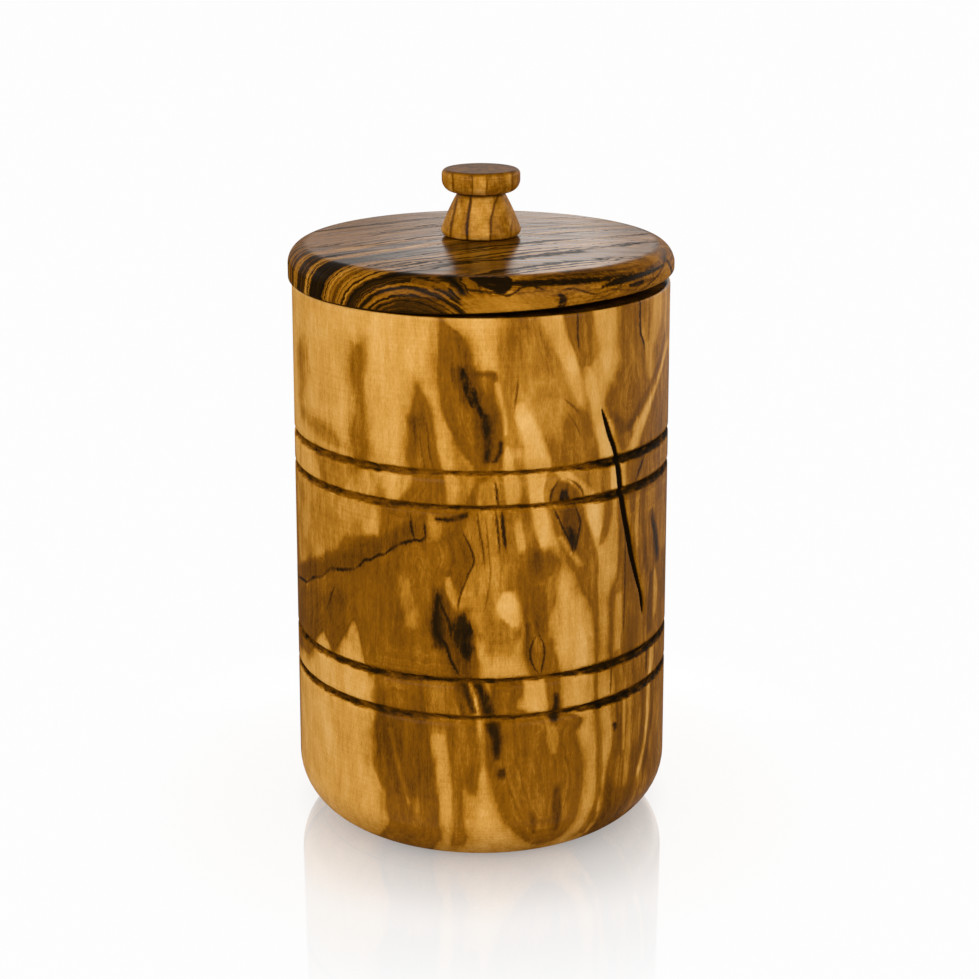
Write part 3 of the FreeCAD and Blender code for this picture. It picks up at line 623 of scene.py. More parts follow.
def disc_outline():
    """From under the plug, up its side, out under the disc, round its edge and in over the crown."""
    slope = math.atan2(LID_CROWN, LID_RADIUS - LANDING_RADIUS)
    round_radius = LID_RADIUS - LID_TOP_ROUND
    reach = LANDING_RADIUS * math.sin(slope) + LID_TOP * math.cos(slope) - LID_TOP_ROUND
    round_height = (reach - round_radius * math.sin(slope)) / math.cos(slope)
    lower = (LID_RADIUS - LID_LOWER_ROUND, JAR_HEIGHT + LID_LOWER_ROUND)
    crown = arc((round_radius, round_height), LID_TOP_ROUND, 0, 90 - math.degrees(slope), 22)
    return np.concatenate([
        [[0, PLUG_FLOOR]],
        run((0, PLUG_FLOOR), (PLUG_RADIUS - PLUG_ROUND, PLUG_FLOOR), 4),
        arc((PLUG_RADIUS - PLUG_ROUND, PLUG_FLOOR + PLUG_ROUND), PLUG_ROUND, -90, 0, 6),
        run((PLUG_RADIUS, PLUG_FLOOR + PLUG_ROUND), (PLUG_RADIUS, JAR_HEIGHT), 3),
        run((PLUG_RADIUS, JAR_HEIGHT), (lower[0], JAR_HEIGHT), 5),
        arc(lower, LID_LOWER_ROUND, -90, 0, 11),
        run((LID_RADIUS, lower[1]), (LID_RADIUS, round_height), 6),
        crown,
        run(crown[-1], (LANDING_RADIUS, LID_TOP), 46),
        [[LANDING_RADIUS, LID_TOP]],
        run((LANDING_RADIUS, LID_TOP), (0, LID_TOP), 4),
        [[0, LID_TOP]],
    ])


def lid_lift(x, y):
    """How far the dried-out underside stands off the rim: a wide circular bend along the lift's azimuth."""
    reach = LID_RADIUS + LID_LIFT_START
    bend = (reach ** 2 + LID_LIFT ** 2) / (2 * LID_LIFT)
    u = np.maximum(x * math.sin(LID_LIFT_AZIMUTH) - y * math.cos(LID_LIFT_AZIMUTH) + LID_LIFT_START, 0)
    return bend - np.sqrt(bend ** 2 - u ** 2)


LID_GRAIN = math.radians(30)   # the lid's grain in plan, from +X towards the back
LID_HEART = (31.0, -7.0)       # the growth rings' centre: across the grain, and over the rim
LID_HEART_SQUEEZE = 1.3        # on their right side the rings stand this much closer
LID_DEGREE = LID_RADIUS * math.pi / 180


def edge_up(soft, strength, *rows):
    """A mark that runs up the lid's edge, drawn by rows (height over the rim, left, right) in degrees."""
    turned = [(height, left * LID_DEGREE, right * LID_DEGREE) for height, left, right in rows]
    return up(soft, strength, *turned)


def edge_along(soft, strength, *columns):
    """A mark that runs round the lid's edge, drawn by columns (degrees, bottom, top)."""
    return along(soft, strength, *[(place * LID_DEGREE, bottom, top) for place, bottom, top in columns])


def edge_line(width, strength, *points):
    """A thin line round the edge through points (degrees, height over the rim)."""
    return line(width, strength, *[(height, place * LID_DEGREE) for place, height in points])


LID_PALE = {
    "pale field": edge_up(1.2, 0.8, (5.2, -4.5, 19), (4, -5.5, 21), (2.5, -4.5, 21.5), (1, -3.5, 21),
        (-1, -3, 21)),
    "pale right": edge_up(1.2, 0.55, (5.3, 25, 30), (4, 25, 32.5), (2.5, 25, 30), (0, 25, 30)),
    "pale far": edge_up(2, 0.5, (7, 61, 69), (4.5, 63, 73), (2, 60, 74), (0, 58, 74)),
    "pale arch": edge_along(0.5, 0.55, (-20, 7.3, 8.4), (-15, 7.1, 8.1), (-9, 6.4, 7.8)),
    "upper right": edge_along(0.6, 0.55, (12, 8.7, 9.6), (30, 8.8, 9.7), (50, 8.3, 9.6), (66, 7.6, 9.5),
        (74, 8.5, 9.6)),
}

LID_DARK = {
    "heart": edge_up(2, 0.9, (4.6, -23, -12), (3, -24.5, -10), (1, -24, -8.5), (-1, -24, -8)),
    "right tail": edge_along(0.5, 0.5, (56, 6.2, 6.9), (64, 6.6, 7.4), (72, 7.3, 8.2), (80, 8, 8.8)),
    "band fringe": edge_along(0.5, 0.75, (10, 7.6, 8.4), (20, 7.6, 8.6), (31, 7.4, 8.7), (40, 7, 8),
        (50, 6.8, 7.4)),
}

LID_INK = {
    "wedge": edge_up(0.45, 0.97, (10.2, -7, 8), (9.7, -6, 8), (9, -4, 8.5), (8, -1, 9.5), (7, 1.2, 8.6),
        (6.3, 3.4, 7.6), (5.6, 5.2, 6.5)),
    "band": edge_along(0.3, 0.95, (8, 7.4, 8.2), (18, 7, 8.1), (25, 6.8, 8), (32, 6.7, 7.7),
        (40, 6.5, 7)),
    "band branch": edge_along(0.25, 0.8, (32, 7.3, 7.7), (40, 7.1, 7.4), (47, 6.7, 7)),
    "blotch": edge_along(0.3, 0.95, (36, 5.2, 5.5), (41, 5.4, 6.7), (47, 5.6, 6.9), (54, 5.8, 6.8),
        (62, 6.1, 6.7), (68, 6.4, 6.7)),
    "blob": edge_along(0.3, 0.75, (46.5, 4.4, 4.9), (50, 4, 5.1), (53.5, 4.3, 5.2)),
    "upright": edge_up(0.5, 0.8, (5.3, 21.7, 22.7), (4, 22.2, 24.4), (2.6, 22, 24), (1.6, 21.8, 23.8)),
    "right upright": edge_up(0.6, 0.7, (7.2, 71.5, 73.2), (5, 73, 75), (2.4, 76, 78.5)),
}

LID_LINES = {
    "pointer upper": edge_line(0.35, 0.8, (23, 6), (27, 5.8), (30, 5), (34.5, 3.7)),
    "diagonal": edge_line(0.4, 0.65, (50, 2.4), (55, 3.4), (60, 4.6), (66, 6), (72, 7.5), (77, 8.4)),
    "first vee": edge_line(0.42, 0.85, (-5, 8.2), (-4, 7.1), (-1, 6.4), (2, 6.1), (5, 5.7), (7.5, 5.4),
        (9.5, 5.9), (11, 6.7), (13, 7.2), (16, 6.8), (19, 5.8)),
    "brown arch": edge_line(0.35, 0.7, (-20, 8.9), (-17, 8.5), (-13, 8.1), (-10, 8.3), (-6, 8.6)),
}

LID_NEAR_LINES = {
    "pointer lower": edge_line(0.35, 0.75, (31.3, 2.2), (33, 3), (34.5, 3.8)),
    "upper branch": edge_line(0.28, 0.7, (-11.5, 9.5), (-9, 8.8), (-6, 8.1)),
    "top stripe": edge_line(0.25, 0.55, (24, 9.2), (36, 8.9), (48, 8.3), (56, 8.1)),
}

LID_OUTER_LINES = {
    "high streak": edge_line(0.3, 0.6, (14, 8.9), (26, 8.7), (38, 8.5), (50, 7.9)),
    "low streak": edge_line(0.25, 0.5, (38, 4.9), (46, 3.6), (52, 3.1)),
}


def lid_piece():
    """The lid: crowned disc and plug, with the growth rings and the dark marks of its edge."""
    lid = Turned(disc_outline(), column_angles(400, 130))
    x = lid.radius * np.sin(lid.angle)
    y = -lid.radius * np.cos(lid.angle)
    over = lid.height - JAR_HEIGHT
    edge_top = LID_TOP - JAR_HEIGHT - LID_TOP_ROUND
    lifted = (lid.radius > PLUG_RADIUS + 0.01) & (over < edge_top)
    share = np.where(lifted, 1 - rise(over, LID_LOWER_ROUND, edge_top - LID_LOWER_ROUND), 0)
    lid.height = lid.height + share * lid_lift(x, y)
    over = lid.height - JAR_HEIGHT
    across_grain = x * math.sin(LID_GRAIN) - y * math.cos(LID_GRAIN)
    aside = across_grain - LID_HEART[0]
    ring = np.hypot(np.where(aside > 0, LID_HEART_SQUEEZE, 1) * aside, over - LID_HEART[1])
    around = lid.side * LID_RADIUS
    crown_start = LID_RADIUS - LID_TOP_ROUND
    on_edge = rise(lid.radius, crown_start, 1.5)
    right_side = rise(across_grain, 40, 1.5) * rise(x, -8, 6)
    degrees = np.degrees(lid.side)
    right_end = rise(degrees, 50, 10) * rise(-degrees, -130, 10) * on_edge
    outer = lid.radius > crown_start
    lower_face = (lid.radius > PLUG_RADIUS) & (over < LID_LIFT) & (lid.radius < LID_RADIUS - 0.3)
    inner_end = rise(-lid.radius, -crown_start - 2, 2)

    def edge_field(marks):
        """The marks of one tone, on the edge only, fading out where the crown begins."""
        return np.where(outer, drawn(marks.values(), around, over) - 2.6 * inner_end, FAINTEST)

    fields = {
        "ring": ring,
        "right_side": np.maximum(right_side, right_end),
        "along": x * math.cos(LID_GRAIN) + y * math.sin(LID_GRAIN),
        "faded": np.clip((x + 42) / 42, 0.35, 1) * (1 - on_edge),
        "top": 1 - on_edge,
        "pale": edge_field(LID_PALE),
        "dark": edge_field(LID_DARK),
        "ink": edge_field(LID_INK),
        # painted shade: the lid's lower face over the rim, which the shader makes near black
        "under": np.where(lower_face, 1.0, 0.0),
    }
    for name, lines in (("line", LID_LINES), ("near", LID_NEAR_LINES), ("outer", LID_OUTER_LINES)):
        made = line_fields(name, lines.values(), over, around)
        made[name + "_strength"] = np.where(outer, made[name + "_strength"], 0)
        fields.update(made)
    return lid.build("lid_figured", fields)


# Knob

def knob_outline():
    """From the landing, round the base, up the swelling flare, under the cap, round it and over its top."""
    under_cap = KNOB_TOP - KNOB_CAP_THICKNESS
    foot = KNOB_LOW + KNOB_BASE_ROUND
    share = np.linspace(0, 1, 16)
    flare_radius = KNOB_BASE + (KNOB_WAIST - KNOB_BASE) * share + KNOB_FLARE_BULGE * 4 * share * (1 - share)
    flare = np.stack([flare_radius, foot + (under_cap - foot) * share], 1)
    lower = (KNOB_CAP - KNOB_CAP_LOWER_ROUND, under_cap + KNOB_CAP_LOWER_ROUND)
    upper = (KNOB_CAP - KNOB_CAP_TOP_ROUND, KNOB_TOP - KNOB_CAP_TOP_ROUND)
    return np.concatenate([
        [[0, KNOB_LOW]],
        run((0, KNOB_LOW), (KNOB_BASE - KNOB_BASE_ROUND, KNOB_LOW), 3),
        arc((KNOB_BASE - KNOB_BASE_ROUND, foot), KNOB_BASE_ROUND, -90, -8, 8),
        flare,
        run((KNOB_WAIST, under_cap), (lower[0], under_cap), 2),
        arc(lower, KNOB_CAP_LOWER_ROUND, -90, 0, 12),
        arc(upper, KNOB_CAP_TOP_ROUND, 0, 90, 12),
        run((upper[0], KNOB_TOP), (0, KNOB_TOP), 5),
        [[0, KNOB_TOP]],
    ])


# The knob's figure: by height over its base, and how far to the right of its axis
KNOB_BROWN = {
    "cap left": up(0.7, 0.8, (17, -6.5, -2.3), (11, -6.6, -2.2)),
    "cap right": up(0.7, 0.75, (17, 1.7, 6.4), (11, 1.6, 6.2)),
    "cap far right": up(0.8, 0.7, (17, 7.4, 11), (11, 7.4, 11)),
    "cap far left": up(1, 0.45, (17, -11, -8.3), (11, -11, -8.3)),
    "flare left": up(0.7, 0.75, (11, -5.2, -2.2), (8, -4.9, -2.6), (5.5, -4.4, -3), (2, -4, -3.2)),
    "flare far left": up(0.8, 0.6, (11, -7, -5.3), (6, -8, -6.3), (0, -9, -7.2)),
    "flare right": up(0.9, 0.65, (11, 3.4, 6.3), (8, 2.9, 7.2), (5, 2.5, 7.4), (1, 2.4, 6.6)),
    "flare far right": up(0.7, 0.75, (7, 8, 11), (4, 7.4, 11), (0, 7.2, 11)),
}

KNOB_LINES = {
    "cap left": line(0.45, 0.8, (-6.8, 11), (-6.8, 17)),
    "cap middle": line(0.4, 0.75, (-2.1, 11), (-2, 17)),
    "cap right": line(0.3, 0.6, (1.5, 11), (1.4, 17)),
    "cap far right": line(0.35, 0.5, (7.6, 11), (7.7, 17)),
}

KNOB_FLARE_LINES = {
    "left": line(0.4, 0.75, (-7.6, -1), (-7.3, 2.7), (-6.6, 6.5), (-5.5, 10.5), (-5.3, 11)),
    "middle": line(0.7, 0.9, (-3.2, -1), (-3.4, 2.7), (-3.2, 5.5), (-2.6, 9.5), (-2.1, 12)),
    "right": line(0.45, 0.8, (2.2, -1), (2.4, 2.7), (2.7, 6.5), (3.3, 8.5), (4.1, 10.2), (4.6, 12)),
    "far right": line(0.35, 0.6, (7, -1), (7.3, 2.5), (7.6, 5)),
}
KNOB_NECK = 3.2                # the painted shade of the neck reaches this far out under the cap
KNOB_NECK_FALL = 1.1           # and this far down the flare
KNOB_SEAT = 0.9                # the painted shade of the seat reaches this far up the base


def knob_piece():
    """The turned knob, with its drawn stripes and painted shade in its corners: under the cap, at the top
    of the flare and round its seat.
    """
    knob = Turned(knob_outline(), np.linspace(0, 2 * math.pi, 260, endpoint=False))
    right = knob.radius * np.sin(knob.angle)
    high = knob.height - KNOB_LOW
    neck = KNOB_TOP - KNOB_CAP_THICKNESS - KNOB_LOW
    past_waist = np.clip(1 - (knob.radius - KNOB_WAIST) / KNOB_NECK, 0, 1)
    under_cap = (high > neck - 0.01) * past_waist * (high < neck + KNOB_CAP_LOWER_ROUND)
    on_flare = (high <= neck) * np.clip(1 - (neck - high) / KNOB_NECK_FALL, 0, 1)
    fields = {
        "end_grain": np.clip((knob.height - KNOB_TOP) / 0.7 + 1, 0, 1),
        "brown": drawn(KNOB_BROWN.values(), right, high),
        # painted shade under the cap, at the top of the flare and round the seat
        "corner": np.maximum(np.maximum(under_cap, on_flare), np.clip(1 - high / KNOB_SEAT, 0, 1)),
    }
    fields.update(line_fields("line", KNOB_LINES.values(), right, high))
    fields.update(line_fields("near", KNOB_FLARE_LINES.values(), right, high))
    return knob.build("knob_figured", fields)


# Shader wiring

class Tone:
    """A value in a shader tree. Arithmetic on it adds Math nodes."""

    def __init__(self, tree, socket):
        self.tree = tree
        self.socket = socket

    def __add__(self, other):
        return calc("ADD", self, other)

    def __sub__(self, other):
        return calc("SUBTRACT", self, other)

    def __mul__(self, other):
        return calc("MULTIPLY", self, other)

    def __truediv__(self, other):
        return calc("DIVIDE", self, other)

    def __abs__(self):
        return calc("ABSOLUTE", self)


def wire(node, inputs):
    """Wires values to a node's inputs, or sets them, by name or number."""
    for key, given in inputs.items():
        if isinstance(given, Tone):
            given.tree.links.new(given.socket, node.inputs[key])
        else:
            node.inputs[key].default_value = given


def add(tree, kind, inputs=None, **settings):
    """Adds a shader node of a kind, sets its properties, and wires or sets its inputs."""
    node = tree.nodes.new("ShaderNode" + kind)
    for key, setting in settings.items():
        setattr(node, key, setting)
    wire(node, inputs or {})
    return node


def put(tree, kind, output, inputs=None, **settings):
    """Adds a node in the same way, and gives one of its outputs, by name or number."""
    return Tone(tree, add(tree, kind, inputs, **settings).outputs[output])


def outputs(tree, node):
    """All outputs of a node, by name."""
    return {socket.name: Tone(tree, socket) for socket in node.outputs}


def calc(operation, first, *others):
    """The result of a Math node."""
    return put(first.tree, "Math", 0, dict(enumerate((first, *others))), operation=operation)


def step(value, low, high, to_low=0.0, to_high=1.0):
    """A smooth step of a value from one pair of levels to another."""
    inputs = {"Value": value, "From Min": low, "From Max": high, "To Min": to_low, "To Max": to_high}
    return put(value.tree, "MapRange", "Result", inputs, interpolation_type="SMOOTHSTEP")


def blend(share, first, second):
    """A value between two others."""
    inputs = {"Factor": share, "A": first, "B": second}
    return put(share.tree, "Mix", "Result", inputs, data_type="FLOAT", clamp_factor=True)


def tones(value, stops):
    """A ramp over given stops (place, colour)."""
    node = add(value.tree, "ValToRGB", {"Fac": value})
    ramp = node.color_ramp
    while len(ramp.elements) < len(stops):
        ramp.elements.new(1.0)
    for element, (place, colour) in zip(ramp.elements, stops):
        element.position = place
        element.color = (*colour, 1)
    return Tone(value.tree, node.outputs["Color"])


def noise(vector, scale, detail=3.0, roughness=0.55):
    """Noise from about 0 to 1."""
    inputs = {"Vector": vector, "Scale": scale, "Detail": detail, "Roughness": roughness}
    return put(vector.tree, "TexNoise", "Fac", inputs)


def stretched(vector, across, along):
    """A vector scaled by one number across the grain, which is X and Y, and by another along it."""
    return put(vector.tree, "VectorMath", 0, {0: vector, 1: (across, across, along)}, operation="MULTIPLY")


def grain_noise(grain, across, along, detail=3.0, roughness=0.55):
    """Noise with its own fineness across and along the grain."""
    return noise(stretched(grain, across, along), 1.0, detail, roughness)


def axes(vector):
    """The X, Y and Z of a vector."""
    return outputs(vector.tree, add(vector.tree, "SeparateXYZ", {"Vector": vector})).values()


def flat_vector(x, y):
    """A vector from its X and Y."""
    return put(x.tree, "CombineXYZ", 0, {"X": x, "Y": y})


def veins(course, scale, width):
    """Thin lines along a course: where a noise over it passes through its middle value."""
    return step(abs(noise(course, scale, 2.0, 0.5) - 0.5), 0.0, width, 1.0, 0.0)


SOCKET_KINDS = {"Grain": "Vector", "Color": "Color"}   # a group's other sockets are plain values


def name_sockets(group, side, titles):
    """Makes a group's input or output sockets."""
    for title in titles:
        kind = "NodeSocket" + SOCKET_KINDS.get(title, "Float")
        group.interface.new_socket(title, in_out=side, socket_type=kind)


def new_group(name, *titles):
    """A shader group with named inputs: its tree, and the inputs' values by name."""
    group = bpy.data.node_groups.new(name, "ShaderNodeTree")
    name_sockets(group, "INPUT", titles)
    return group, outputs(group, group.nodes.new("NodeGroupInput"))


def give_out(group, results):
    """Gives a group its named outputs."""
    name_sockets(group, "OUTPUT", results)
    wire(group.nodes.new("NodeGroupOutput"), results)
    return group


def fibre_group():
    """Fibres along the vector's Z, in millimetres, gently bent: streaks, fine flecks, pores and clouds."""
    group, given = new_group("fibres", "Grain")
    plain = given["Grain"]
    inputs = {"Vector": stretched(plain, 0.07, 0.035), "Detail": 2.0, "Scale": 1.0}
    swirl = put(group, "TexNoise", "Color", inputs)
    grain = put(group, "VectorMath", 0, {0: swirl, 1: (5, 5, 5), 2: plain}, operation="MULTIPLY_ADD")
    return give_out(group, {
        "Streak": grain_noise(grain, 0.7, 0.07, 4.0, 0.6),
        "Thread": grain_noise(grain, 2.0, 0.14, 3.0, 0.6),
        "Fine": grain_noise(grain, 2.6, 0.9, 3.0, 0.7),
        "Pores": step(grain_noise(grain, 3.2, 0.4, 1.0, 0.4), 0.66, 0.74),
        "Cloud": grain_noise(grain, 0.14, 0.07, 4.0, 0.6),
    })


def feather_group():
    """Turns a drawn field into a mask whose edge is broken by streaks, and softer in some places."""
    group, given = new_group("feather", "Field", "Streak", "Wobble", "Cloud")
    blur = step(given["Cloud"], 0.4, 0.64, 0.8, 2.6)
    broken = given["Field"] + (given["Streak"] - 0.5) * given["Wobble"]
    return give_out(group, {"Mask": step(broken, blur * -1.0, blur)})


def stroke_group():
    """A thin line from the distance to its middle, its half width and its strength, with a ragged side."""
    group, given = new_group("stroke", "Offset", "Half", "Strength", "Ragged", "Soft")
    away = abs(given["Offset"] + (given["Ragged"] - 0.5) * 1.1)
    inside = (given["Half"] - away) / given["Soft"]
    return give_out(group, {"Mask": step(inside, -1.0, 1.0) * given["Strength"]})


WOOD_TONES = (
    (0.0, (0.69, 0.42, 0.15)),
    (0.22, (0.53, 0.265, 0.05)),
    (0.38, (0.37, 0.155, 0.011)),
    (0.52, (0.215, 0.076, 0.0015)),
    (0.72, (0.09, 0.03, 0.001)),
    (0.86, (0.024, 0.01, 0.001)),
    (1.0, (0.005, 0.003, 0.001)),
)


def olive_group():
    """Olive wood from a depth of tone (0 straw, 1 black heartwood line): colour, roughness and relief.

    Flecks, clouds and pores spread the depth, less so in the blackest wood.
    """
    group, given = new_group("olive_wood", "Depth", "Fine", "Pores", "Cloud")
    fine = given["Fine"]
    pores = given["Pores"]
    spread = (fine - 0.5) * 0.27 + ((given["Cloud"] - 0.5) * 0.34 + pores * 0.05)
    calm = step(given["Depth"], 0.72, 0.95, 1.0, 0.12)
    return give_out(group, {
        "Color": tones(spread * calm + given["Depth"], WOOD_TONES),
        "Roughness": fine * 0.16 + 0.36 + pores * 0.12,
        "Height": fine * 0.35 - pores,
    })


FIBRES = fibre_group()
FEATHER = feather_group()
STROKE = stroke_group()
OLIVE = olive_group()


def place_group(tree, group, inputs):
    """Places a shared group in a material, and gives its outputs by name."""
    return outputs(tree, add(tree, "Group", inputs, node_tree=group))


def new_material(name):
    """An empty material and its tree."""
    material = bpy.data.materials.new(name)
    material.use_nodes = True
    material.node_tree.nodes.clear()
    return material, material.node_tree


def grain_vector(tree, turn=(0, 0, 0)):
    """Object coordinates in millimetres, turned so that the fibres run along Z."""
    inputs = {"Vector": put(tree, "TexCoord", "Object"), "Rotation": turn, "Scale": (1 / MM,) * 3}
    return put(tree, "Mapping", "Vector", inputs)


def read(tree, name):
    """A drawn field of the piece."""
    return put(tree, "Attribute", "Fac", attribute_name=name)


def feathered(tree, name, wobble, streak, cloud):
    """The mask of one drawn tone."""
    inputs = {"Field": read(tree, name), "Streak": streak, "Wobble": wobble, "Cloud": cloud}
    return place_group(tree, FEATHER, inputs)["Mask"]


def stroke(tree, name, ragged, soft):
    """The mask of one set of thin lines."""
    inputs = {title.title(): read(tree, f"{name}_{title}") for title in ("offset", "half", "strength")}
    return place_group(tree, STROKE, {**inputs, "Ragged": ragged, "Soft": soft})["Mask"]


def principled(tree, inputs):
    """Ends a material with a Principled shader."""
    add(tree, "OutputMaterial", {"Surface": put(tree, "BsdfPrincipled", 0, inputs)})


def relief(tree, height, strength):
    """Fine relief as a bumped normal."""
    inputs = {"Height": height, "Strength": strength, "Distance": 0.0002}
    return put(tree, "Bump", "Normal", inputs)


def varnished(tree, depth, fibres, gloss):
    """Ends a material with olive wood, under a satin varnish that is worn off where the gloss is low."""
    inputs = {title: fibres[title] for title in ("Fine", "Pores", "Cloud")}
    wood = place_group(tree, OLIVE, {"Depth": depth, **inputs})
    principled(tree, {
        "Base Color": wood["Color"],
        "Roughness": wood["Roughness"],
        "Normal": relief(tree, wood["Height"], 0.25),
        "Specular IOR Level": 0.0,
        "Coat Weight": gloss,
        "Coat Roughness": 0.2,
        "Coat IOR": 1.3,
    })


# Depths of tone
LINE_TONE = 0.95
INK_TONE = 0.97
CRACK_TONE = 0.99
BARK_TONE = 0.93
JAR_FLAME = 0.545
JAR_PALE_TONE = 0.1
JAR_DARK_TONE = 0.74
JAR_HALO = 0.78


def jar_material():
    """Upright figured wood: honey, brown flames with lines along their sides, pale, dark and ink marks."""
    material, tree = new_material("figured_jar_wood")
    grain = grain_vector(tree)
    x, y, z = axes(grain)
    fibres = place_group(tree, FIBRES, {"Grain": grain})
    streak = fibres["Streak"]
    fine = fibres["Fine"]
    streaky = (streak - 0.5) * step(x, 28, 43, 0.2, 0.4)
    clouds = grain_noise(grain, 0.2, 0.1)
    shade = (clouds - 0.45) * 0.55

    # Honey ground, darker towards the foot as painted shade, and flames whose lines follow their sides
    inside = read(tree, "inside")
    course = flat_vector(inside + streak * 3.0, z * 0.03)
    lines = (noise(course, 0.9, 2.0) - 0.5) * 0.26
    vein = veins(course, 0.45, 0.035) * 0.2
    rim = step(inside, -0.2, 0.7) * step(inside, 0.8, 3.5, 0.06, 0.0)
    turning = (grain_noise(grain, 0.05, 3.0, 2.0) - 0.5) * 0.12
    tint = step(inside + shade * 12.0, -4.5, 1.0, 0.0, 0.13)
    # painted shade: the ground darkens from 15 mm down to the foot
    ground = step(z, 2, 15, 0.31, 0.2) + tint + (streaky + turning)
    flame = shade + JAR_FLAME + lines + (rim + streaky)
    depth = blend(feathered(tree, "brown", 0.8, streak, clouds), ground, blend(vein, flame, 0.8))

    # Pale, dark and ink marks, and thin lines
    depth = blend(feathered(tree, "pale", 0.8, streak, clouds), depth, streaky + JAR_PALE_TONE)
    depth = blend(feathered(tree, "dark", 1.6, streak, clouds), depth, JAR_DARK_TONE)
    halo = step(read(tree, "ink") + streaky * 8.0, -2.6, 0.6, 0.0, 0.55)
    depth = blend(halo, depth, JAR_HALO)
    blot = grain_noise(grain, 0.9, 0.4, 4.0, 0.68)
    depth = blend(feathered(tree, "ink", 3.6, blot, clouds), depth, INK_TONE)
    for name in ("line", "near"):
        depth = blend(stroke(tree, name, fine, 0.3), depth, LINE_TONE)
    bark = abs(read(tree, "bark") + (fine - 0.5) * 2.5)
    patchy = step(grain_noise(grain, 0.22, 0.22, 3.0, 0.6), 0.38, 0.6, 0.35, 1.0)
    depth = blend(patchy * step(bark, 0.1, 1.4, 0.95, 0.0), depth, BARK_TONE)

    # Dirt in the grooves, with painted shade on their upper faces: ragged, beaded, wider to the sides and
    # blackest at the right
    beside = read(tree, "groove_near")
    right = step(x, 16, 32)
    wide = calc("MAXIMUM", right, step(x, -22, -8, 1.0, 0.0))
    rag = grain_noise(grain, 0.4, 1.5, 4.0, 0.65)
    # the band sits over the upper half of each groove: grime, and painted shade of the upper face that
    # looks down
    from_middle = rag * 1.4 + read(tree, "groove") - blend(wide, 1.15, 0.8)
    breadth = right * 0.3 + blend(wide, 0.48, 0.85)
    dirt_and_shade_mask = beside * step(breadth - abs(from_middle), -0.45, 0.3, 0.0, 0.95)
    bead = grain_noise(grain, 0.3, 0.8, 3.0, 0.6)
    groove_dirt_and_shade = blend(right, step(z, 60, 80, 0.82, 0.75), 0.93) + (bead * 0.9 - 0.45)
    depth = blend(dirt_and_shade_mask, depth, groove_dirt_and_shade)

    # The crack, and the end grain of the rim, darkened beyond its own tone as painted shade
    cut = (read(tree, "crack_half") - abs(read(tree, "crack"))) / 0.25
    depth = blend(step(cut, -0.8, 0.8), depth, CRACK_TONE)
    # painted shade: the rim's end grain goes deep brown to near black, partly its own darker end grain,
    # partly the shade in the gap under the lid
    depth = blend(read(tree, "end_grain"), depth, clouds * 0.45 + 0.6)
    bare = calc("MAXIMUM", beside, step(cut, -2.5, 0.0))
    varnished(tree, depth, fibres, blend(bare, 0.3, 0.03))
    return material


# Depth of tone by growth ring of the lid: (radius from the heart, depth)
LID_RINGS = (
    (0, 0.92), (8.3, 0.9), (8.9, 0.62), (9.5, 0.88), (10.1, 0.6), (10.6, 0.84), (11.2, 0.52), (12.8, 0.5),
    (13.2, 0.96), (13.7, 0.94), (14.1, 0.46), (15.1, 0.5), (15.4, 0.86), (15.7, 0.48), (16.2, 0.95),
    (17, 0.95), (17.5, 0.5), (20.9, 0.44), (21.3, 0.76), (21.8, 0.46), (24.8, 0.42), (25.4, 0.95),
    (30.5, 0.95), (31.2, 0.34), (33.6, 0.38), (34.3, 0.82), (37.3, 0.8), (38, 0.36), (41, 0.42),
    (42.5, 0.75), (45.5, 0.52), (80, 0.56),
)
LID_RING_REACH = 80.0
LID_TAN = 0.51
LID_PALE_TONE = 0.44
LID_DARK_TONE = 0.8
LID_UNDERSIDE_SHADE = 0.9


